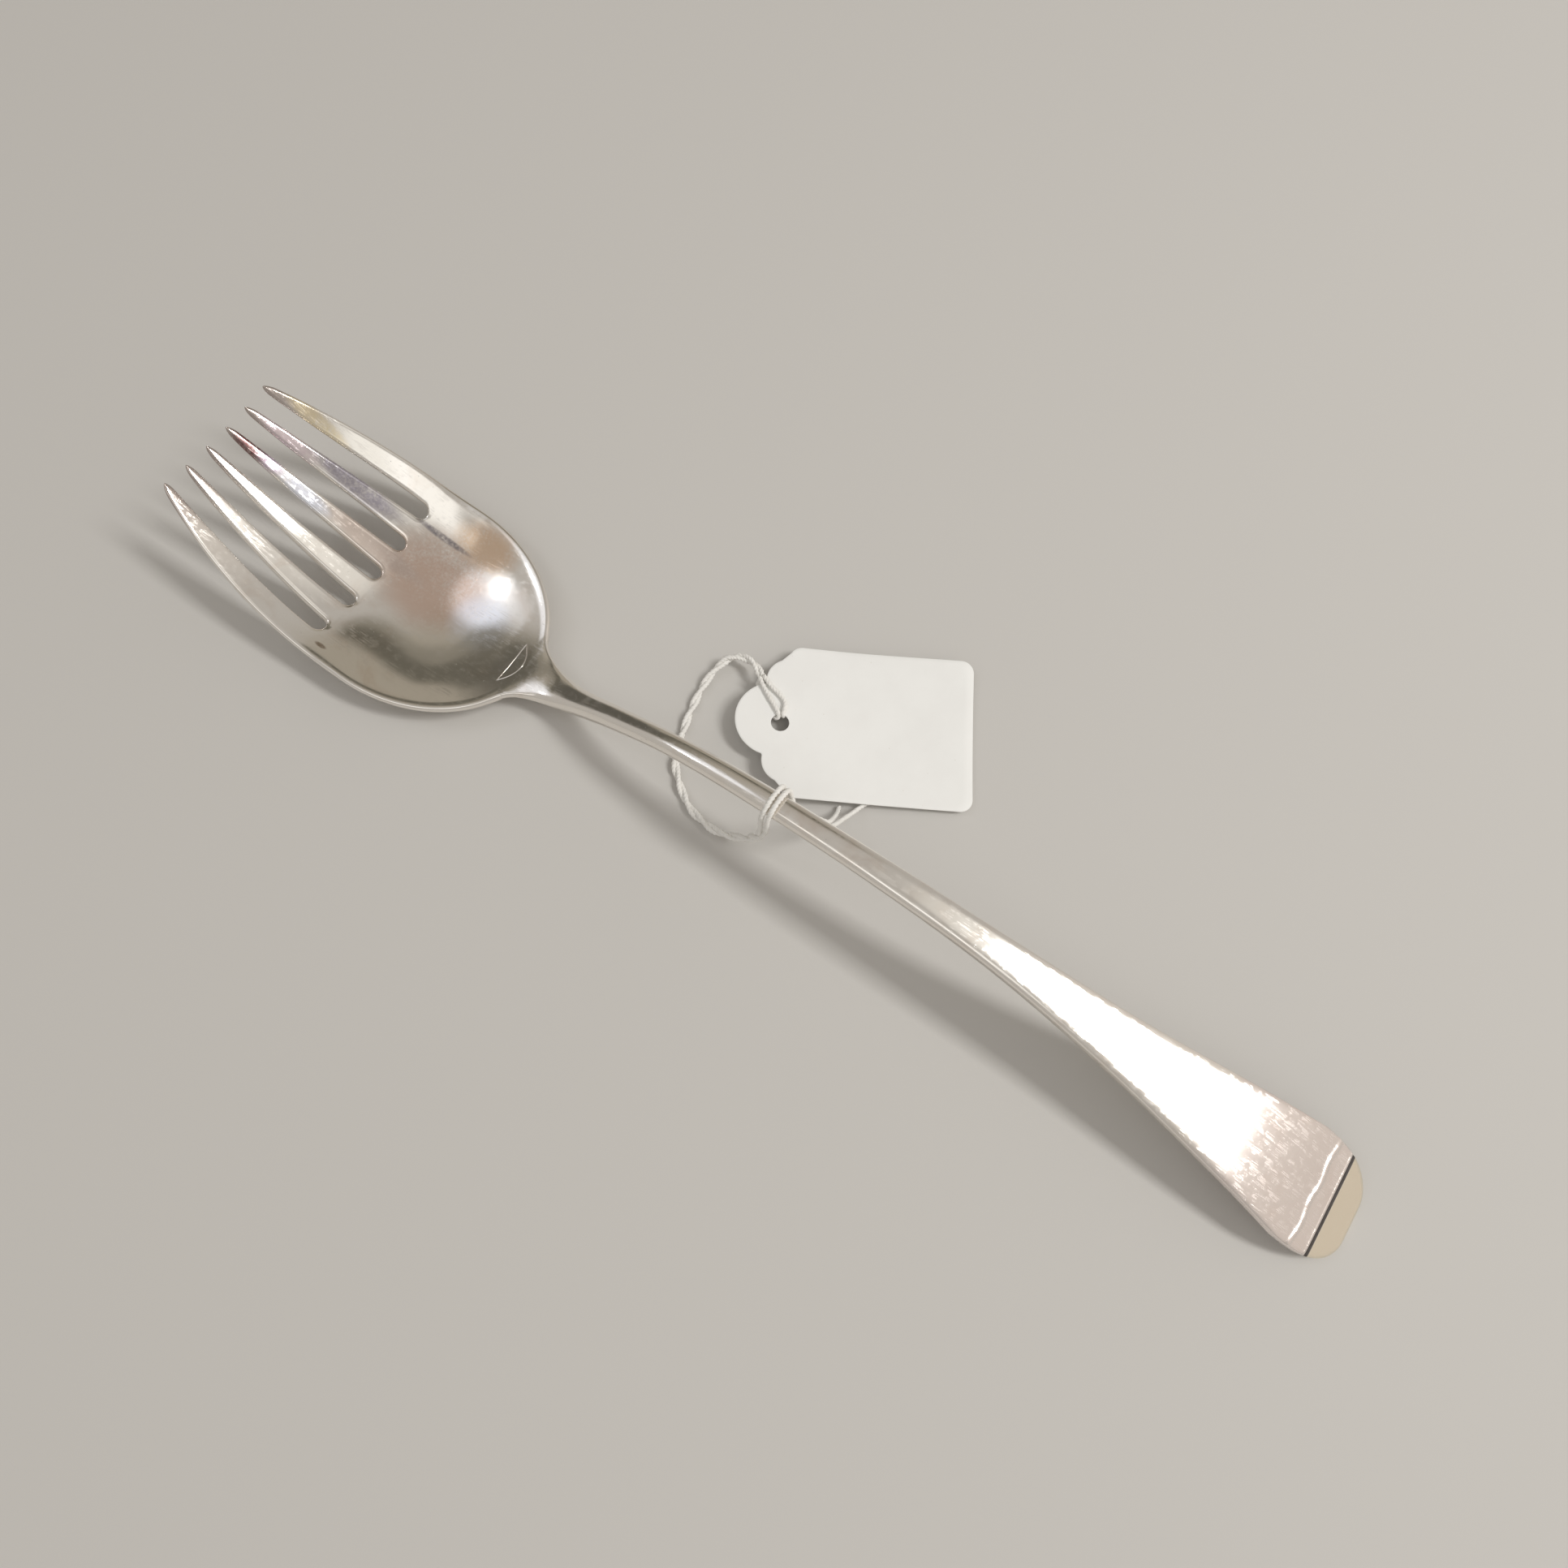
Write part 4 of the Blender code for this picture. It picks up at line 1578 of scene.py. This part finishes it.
@dataclass
class CottonString:
    """One length of cotton, doubled round the stem and through the card."""

    tag: Tag
    finish: bpy.types.Material
    yarn: Yarn = Yarn()
    fine: Yarn = Yarn(radius=0.46)
    tight: Yarn = Yarn(radius=0.44)
    gap: float = 0.38
    pitch: float = 9.674
    phase: float = 1.3
    turn_gap: float = 0.62
    turn_spread: float = 0.12
    spread_over: Span = (0.1, 0.4)
    turn_gather: float = 0.25
    gather_over: Span = (0.80, 1.0)
    settle: float = 5.0
    diameter: float = 0.0018
    cord_step: float = 0.8
    neck_bend: tuple[int, int] = (-2, 16)
    hitch_bend: Span = (9.6, 7.8)
    hitch_up: float = 0.9
    sharp: float = 70.0
    toward: Span = (-0.442, 0.897)
    loop: Path = Path((
        (128.7, -3.5, 17.9), (128.6, -3.4, 16.6), (128.0, -3.3, 12.5), (126.6, -3.2, 8.0),
        (124.6, -3.5, 4.6), (121.9, -4.2, 2.6), (119.0, -4.7, 1.7), (116.1, -4.5, 1.2), (113.0, -3.9, 1.0),
        (110.2, -2.6, 0.98), (107.2, -0.4, 0.98), (104.8, 1.8, 0.98), (103.1, 5.0, 0.98), (101.8, 8.5, 0.98),
        (100.8, 11.7, 0.98), (99.95, 15.4, 0.98), (99.4, 19.2, 1.2), (99.57, 22.7, 1.8),
        (100.36, 25.38, 2.4), (101.2, 26.4, 2.66)))
    neck: Path = Path(((101.2, 26.4, 2.66), (102.17, 27.17, 3.0), (104.5, 27.6, 3.4), (106.2, 27.2, 3.7),
                       (107.4, 26.5, 3.8), (108.4, 25.9, 3.8)))
    over: Path = Path((
        (128.7, -3.5, 17.7), (128.7, -3.4, 20.4), (128.7, -3.2, 23.4), (128.7, -1.9, 25.25),
        (128.7, 0.0, 25.75), (128.75, 1.9, 25.3), (128.8, 3.2, 23.9), (129.1, 3.5, 21.8), (129.6, 3.35, 20.1),
        (130.4, 2.6, 19.3), (131.6, 1.9, 19.2)))
    knot_at: Point = (132.8, 1.2, 19.2)
    knot_size: Point = (1.05, 0.85, 0.62)
    knot_far: Span = (0.95, 0.42)
    knot_points: int = 90
    short_tail: Path = Path(((134.0, 1.7, 19.1), (134.6, 2.3, 19.0), (135.6, 4.0, 16.6), (136.5, 6.3, 10.4),
                             (136.3, 9.2, 4.6), (135.9, 11.6, 1.4), (135.5, 13.0, 0.66)))
    long_tail: Path = Path(((134.1, 0.8, 19.0), (134.8, 0.6, 18.8), (136.6, 3.0, 16.4), (137.6, 6.4, 10.0),
                            (138.0, 10.0, 5.3), (138.5, 12.9, 2.6), (139.3, 15.9, 1.15), (141.2, 19.4, 0.66)))
    hitch: tuple[Point, ...] = (
        (9.4, -0.45, 0.75), (8.2, -0.55, 0.85), (6.4, -0.45, 0.80), (4.0, -0.20, 0.76), (2.1, 0.0, 0.80),
        (1.1, 0.0, 0.42), (0.6, -0.25, -0.25), (1.2, -0.70, -0.72), (4.0, -1.05, -0.74), (6.6, -1.20, -0.74),
        (8.4, -1.15, -0.70), (9.15, -0.70, -0.50), (9.35, 0.0, -0.42), (9.15, 0.70, -0.50),
        (8.4, 1.15, -0.70), (6.6, 1.20, -0.74), (4.0, 1.15, -0.74), (1.4, 1.10, -0.72), (0.5, 0.80, -0.20),
        (0.9, 0.95, 0.42), (1.7, 1.60, 0.80), (3.0, 2.10, 0.78), (4.8, 1.75, 0.76), (6.4, 1.05, 0.80),
        (8.2, 0.60, 0.85), (9.4, 0.45, 0.75))

    def pair(self) -> tuple[list[np.ndarray], np.ndarray, int]:
        """Two strands twisted together along the loop and the neck.

        Returns:
            The two strand lines, the middle line, and the index where the neck starts.
        """
        loop = self.loop.line()
        middle = np.concatenate([loop, self.neck.line()[1:]])
        first, second = sides(middle, (1.0, 0.0, 0.0))
        gone = np.arange(len(middle)) * self.loop.step
        twist = (2 * math.pi * np.maximum(gone - self.settle, 0.0) / self.pitch)[:, None]
        near = 1 - smoothstep(0.0, self.settle, gone)[:, None]
        reach = self.gap + (self.turn_gap - self.gap) * near
        offset = (first * np.cos(twist) + second * np.sin(twist)) * reach
        return [middle + offset, middle - offset], middle, len(loop) - 1

    def section(self, skin: Skin, name: str, node: str) -> bpy.types.Object:
        """Make a section of the string that stands for a node."""
        return skin.piece(name, self.finish, self.sharp, Slot.COTTON, node)

    def build_loop(self) -> tuple[bpy.types.Object, bpy.types.Object, np.ndarray]:
        """Build the doubled cord on the table and its neck up to the card.

        Returns:
            Loop, neck and the middle line of the loop.
        """
        strands, middle, cut = self.pair()
        loop_skin, neck_skin = Skin(), Skin()
        for index, strand in enumerate(strands):
            phase = index * self.phase
            self.yarn.spin(loop_skin, strand[:cut + 2], phase)
            twist = 2 * math.pi * travel(strand[:cut])[-1] / self.yarn.turn
            self.yarn.spin(neck_skin, strand[cut - 1:], phase + twist)
        loop = self.section(loop_skin, "loop_cord", "string_loop")
        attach(loop, Body.STRING.value)
        neck = self.section(neck_skin, "neck_cord", "string_neck")
        start, end = (tuple(to_metres(middle[cut + shift])) for shift in self.neck_bend)
        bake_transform(neck)
        return loop, neck, middle[:cut + 1]

    def build_turns(self) -> list[bpy.types.Object]:
        """Build the two strands over the stem, the knot and the tails.

        Returns:
            The pieces, riding with the string.
        """
        made = []
        for end, side in (("near", -1.0), ("far", 1.0)):
            skin = Skin()
            line = self.over.line()
            share = smoothstep(*self.gather_over, np.linspace(0.0, 1.0, len(line)))
            shift = self.turn_gap + self.turn_spread * smoothstep(*self.spread_over, share)
            line[:, 0] += side * (shift - self.turn_gather * share)
            self.yarn.spin(skin, line, side)
            made.append(self.section(skin, f"cotton_turn_{end}", f"string_turn_{end}"))
        made.append(self.build_knot())
        for end, path in (("short", self.short_tail), ("long", self.long_tail)):
            skin = Skin()
            self.fine.spin(skin, path.line())
            made.append(self.section(skin, f"cotton_tail_{end}", f"string_tail_{end}"))
        for piece in made:
            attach(piece, Body.STRING.value)
        return made

    def build_knot(self) -> bpy.types.Object:
        """Build the overhand knot.

        Returns:
            The piece, not yet riding.
        """
        t = np.linspace(0.0, 2 * math.pi, self.knot_points)
        far = self.knot_far[0] + self.knot_far[1] * np.cos(3 * t)
        line = np.stack([far * np.cos(2 * t), far * np.sin(2 * t), np.sin(3 * t)], axis=-1)
        skin = Skin()
        self.tight.spin(skin, even(line * self.knot_size + np.array(self.knot_at), self.loop.step))
        return self.section(skin, "overhand_knot", "string_knot")

    def build_hitch(self) -> bpy.types.Object:
        """Build the hitch through the hole of the card.

        Returns:
            The piece, in place between the neck and the tag, riding on no body.
        """
        toward = np.array(self.toward)
        aside = np.array([toward[1], -toward[0]])
        flat = np.array(self.hitch)
        plan = flat[:, :1] * toward + flat[:, 1:2] * aside
        points = self.tag.placed(np.column_stack([plan, flat[:, 2]]))
        skin = Skin()
        self.fine.spin(skin, Path(tuple(map(tuple, points))).line())
        made = self.section(skin, "card_hitch", "string_bight")
        bend = [[*(toward * far), self.hitch_up] for far in self.hitch_bend]
        start, end = (tuple(place) for place in to_metres(self.tag.placed(bend)))
        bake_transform(made)
        return made

    def build(self) -> list[bpy.types.Object]:
        """Returns:
            The pieces.
        """
        loop, neck, middle = self.build_loop()
        others = [neck, *self.build_turns(), self.build_hitch()]
        return [loop, *others]


@dataclass(frozen=True)
class Lamp:
    """A soft lamp that faces the fork."""

    name: str
    toward: Point
    far: float
    size: Span
    power: float
    colour: Colour
    shape: LampShape = LampShape.RECTANGLE

    def add(self) -> None:
        """Hang the lamp with its first side along the fork."""
        data = bpy.data.lights.new(self.name, "AREA")
        data.shape = self.shape.value
        data.size, data.size_y = self.size
        data.energy = self.power
        data.color = self.colour
        back = Vector(self.toward).normalized()
        along = (Vector((1.0, 0.0, 0.0)) - back * back.x).normalized()
        turn = Matrix((along, back.cross(along), back)).transposed()
        add_object(self.name, data).matrix_world = Matrix.LocRotScale(back * self.far, turn, None)


@dataclass(frozen=True)
class Glow:
    """A patch of the surroundings with its own tone; its edge and core are angles in degrees."""

    toward: Point
    edge: float
    core: float
    tone: Colour

    def spread(self, bench: Bench, way: Shade, colour: Value) -> Shade:
        """Lay the patch over a colour.

        Args:
            bench: Tree to add to.
            way: Direction looked at.
            colour: Colour without the patch.

        Returns:
            The colour with the patch, which fades out between its core and its edge.
        """
        middle = tuple(Vector(self.toward).normalized())
        near = bench.node("ShaderNodeVectorMath", {"operation": "DOT_PRODUCT"}, {0: way, 1: middle}, "Value")
        share = near.rise(math.cos(math.radians(self.edge)), math.cos(math.radians(self.core)))
        return bench.mix(share, colour, self.tone)

    @classmethod
    def chain(cls, path: Sequence[Point], edges: Span, core: float, tone: Colour,
              count: int = 9) -> tuple["Glow", ...]:
        """Lay patches in a row, for a long curved patch.

        Args:
            path: Directions that the row runs through.
            edges: Edge of the first and of the last patch.
            core: Core of each patch.
            tone: Their tone.
            count: Number of patches.

        Returns:
            The patches in order.
        """
        turns = np.array([Vector(toward).normalized() for toward in path])
        at = np.linspace(0.0, len(path) - 1.0, count)
        places = np.stack([np.interp(at, np.arange(len(path)), turns[:, axis]) for axis in range(3)], axis=-1)
        widths = np.linspace(*edges, count).tolist()
        return tuple(cls(tuple(place), width, core, tone) for place, width in zip(places.tolist(), widths))


@dataclass
class Studio:
    """Floor, light and camera."""

    camera_at: Point = (0.034971, -0.054651, 0.216246)
    camera_aim: Point = (-0.001466, 0.011258, 0.0)
    camera_roll: float = 5.569
    lens: float = 27.037
    sensor: float = 36.0
    shift: float = -0.001
    nearest: float = 0.01
    floor_half: float = 3.0
    floor_drop: float = 0.00005
    sky: Colour = (0.45, 0.425, 0.395)
    sky_seen: Colour = (0.78, 0.77, 0.75)
    glows: tuple[Glow, ...] = (
        Glow((-0.64, 0.60, 0.48), 44.0, 18.0, (0.34, 0.307, 0.252)),
        *Glow.chain(((-0.22, 0.57, 0.79), (-0.53, 0.58, 0.62), (-0.66, 0.43, 0.62), (-0.77, 0.21, 0.61)),
                    (11.0, 14.0), 1.0, (0.23, 0.21, 0.172)),
        *Glow.chain(((-0.254, 0.624, 0.739), (-0.559, 0.624, 0.546), (-0.699, 0.465, 0.543),
                     (-0.80, 0.211, 0.562)), (8.0, 7.5), 2.0, (0.125, 0.115, 0.092)),
        Glow((-0.93, 0.25, 0.20), 26.0, 13.0, (0.10, 0.093, 0.078)),
        Glow((0.87, 0.42, 0.26), 56.0, 18.0, (0.66, 0.605, 0.55)),
        Glow((-0.58, -0.08, 0.80), 17.0, 9.0, (0.88, 0.88, 0.91)),
        Glow((0.28, 0.30, 0.91), 17.0, 2.0, (0.74, 0.71, 0.66)),
        Glow((0.19, -0.36, 0.914), 12.0, 5.0, (1.12, 1.10, 1.07)),
        Glow((0.36, -0.24, 0.90), 11.0, 3.0, (0.95, 0.93, 0.88)),
        Glow((-0.01, -0.455, 0.89), 12.0, 4.0, (1.05, 1.03, 0.99)),
        Glow((-0.18, -0.49, 0.853), 11.0, 4.0, (1.05, 1.03, 0.99)))
    lamps: tuple[Lamp, ...] = (
        Lamp("key", (0.695, 0.335, 1.0), 1.225, (0.44, 0.17), 6.7, (1.0, 0.99, 0.97)),
        Lamp("window", (-0.655, -0.20, 0.73), 1.1, (0.05, 0.155), 0.25, (0.95, 0.97, 1.0), LampShape.ELLIPSE))

    def set_camera(self) -> None:
        """Stand the camera where the photo was taken from."""
        data = bpy.data.cameras.new("camera")
        data.lens = self.lens
        data.sensor_width = self.sensor
        data.shift_y = self.shift
        data.clip_start = self.nearest
        camera = add_object("camera", data)
        camera.location = self.camera_at
        turn = (Vector(self.camera_aim) - Vector(self.camera_at)).to_track_quat("-Z", "Y")
        camera.rotation_mode = "QUATERNION"
        camera.rotation_quaternion = turn @ Quaternion((0.0, 0.0, 1.0), math.radians(self.camera_roll))
        bpy.context.scene.camera = camera

    def lay_floor(self) -> None:
        """Lay the pale floor."""
        half = self.floor_half
        corners = [(-half, -half, 0.0), (half, -half, 0.0), (half, half, 0.0), (-half, half, 0.0)]
        mesh = bpy.data.meshes.new("floor")
        mesh.from_pydata(corners, [], [(0, 1, 2, 3)])
        mesh.materials.append(PaleFloor().material())
        floor = add_object("floor", mesh)
        floor.location.z = -self.floor_drop

    def light(self) -> None:
        """Set the surroundings, which the camera sees as one plain tone, and the lamps."""
        world = bpy.data.worlds.new("studio")
        bpy.context.scene.world = world
        bench = Bench(world)
        toward = bench.node("ShaderNodeTexCoord", out="Generated")
        colour = self.sky
        for glow in self.glows:
            colour = glow.spread(bench, toward, colour)
        seen = bench.node("ShaderNodeLightPath", out="Is Camera Ray")
        colour = bench.mix(seen, colour, self.sky_seen)
        sky = bench.node("ShaderNodeBackground", {}, {"Color": colour, "Strength": 1.0})
        bench.node("ShaderNodeOutputWorld", {}, {"Surface": sky})
        for lamp in self.lamps:
            lamp.add()


def main() -> None:
    """Build the scene."""
    logging.basicConfig(level=logging.INFO, format="%(name)s: %(message)s")
    bpy.context.scene.view_settings.view_transform = "Standard"
    studio = Studio()
    studio.set_camera()
    studio.lay_floor()
    studio.light()
    tag = Tag()
    head = Head()
    pieces = [tag.build(Card().material())]
    pieces += CottonString(tag, Cotton().material()).build()
    pieces.append(head.build(BowlSilver().material()))
    pieces.append(Handle(head).build(HandleSilver().material()))
    for piece in pieces:
        log.info("%s: %d faces", piece.name, len(piece.data.polygons))


if __name__ == "__main__":
    main()
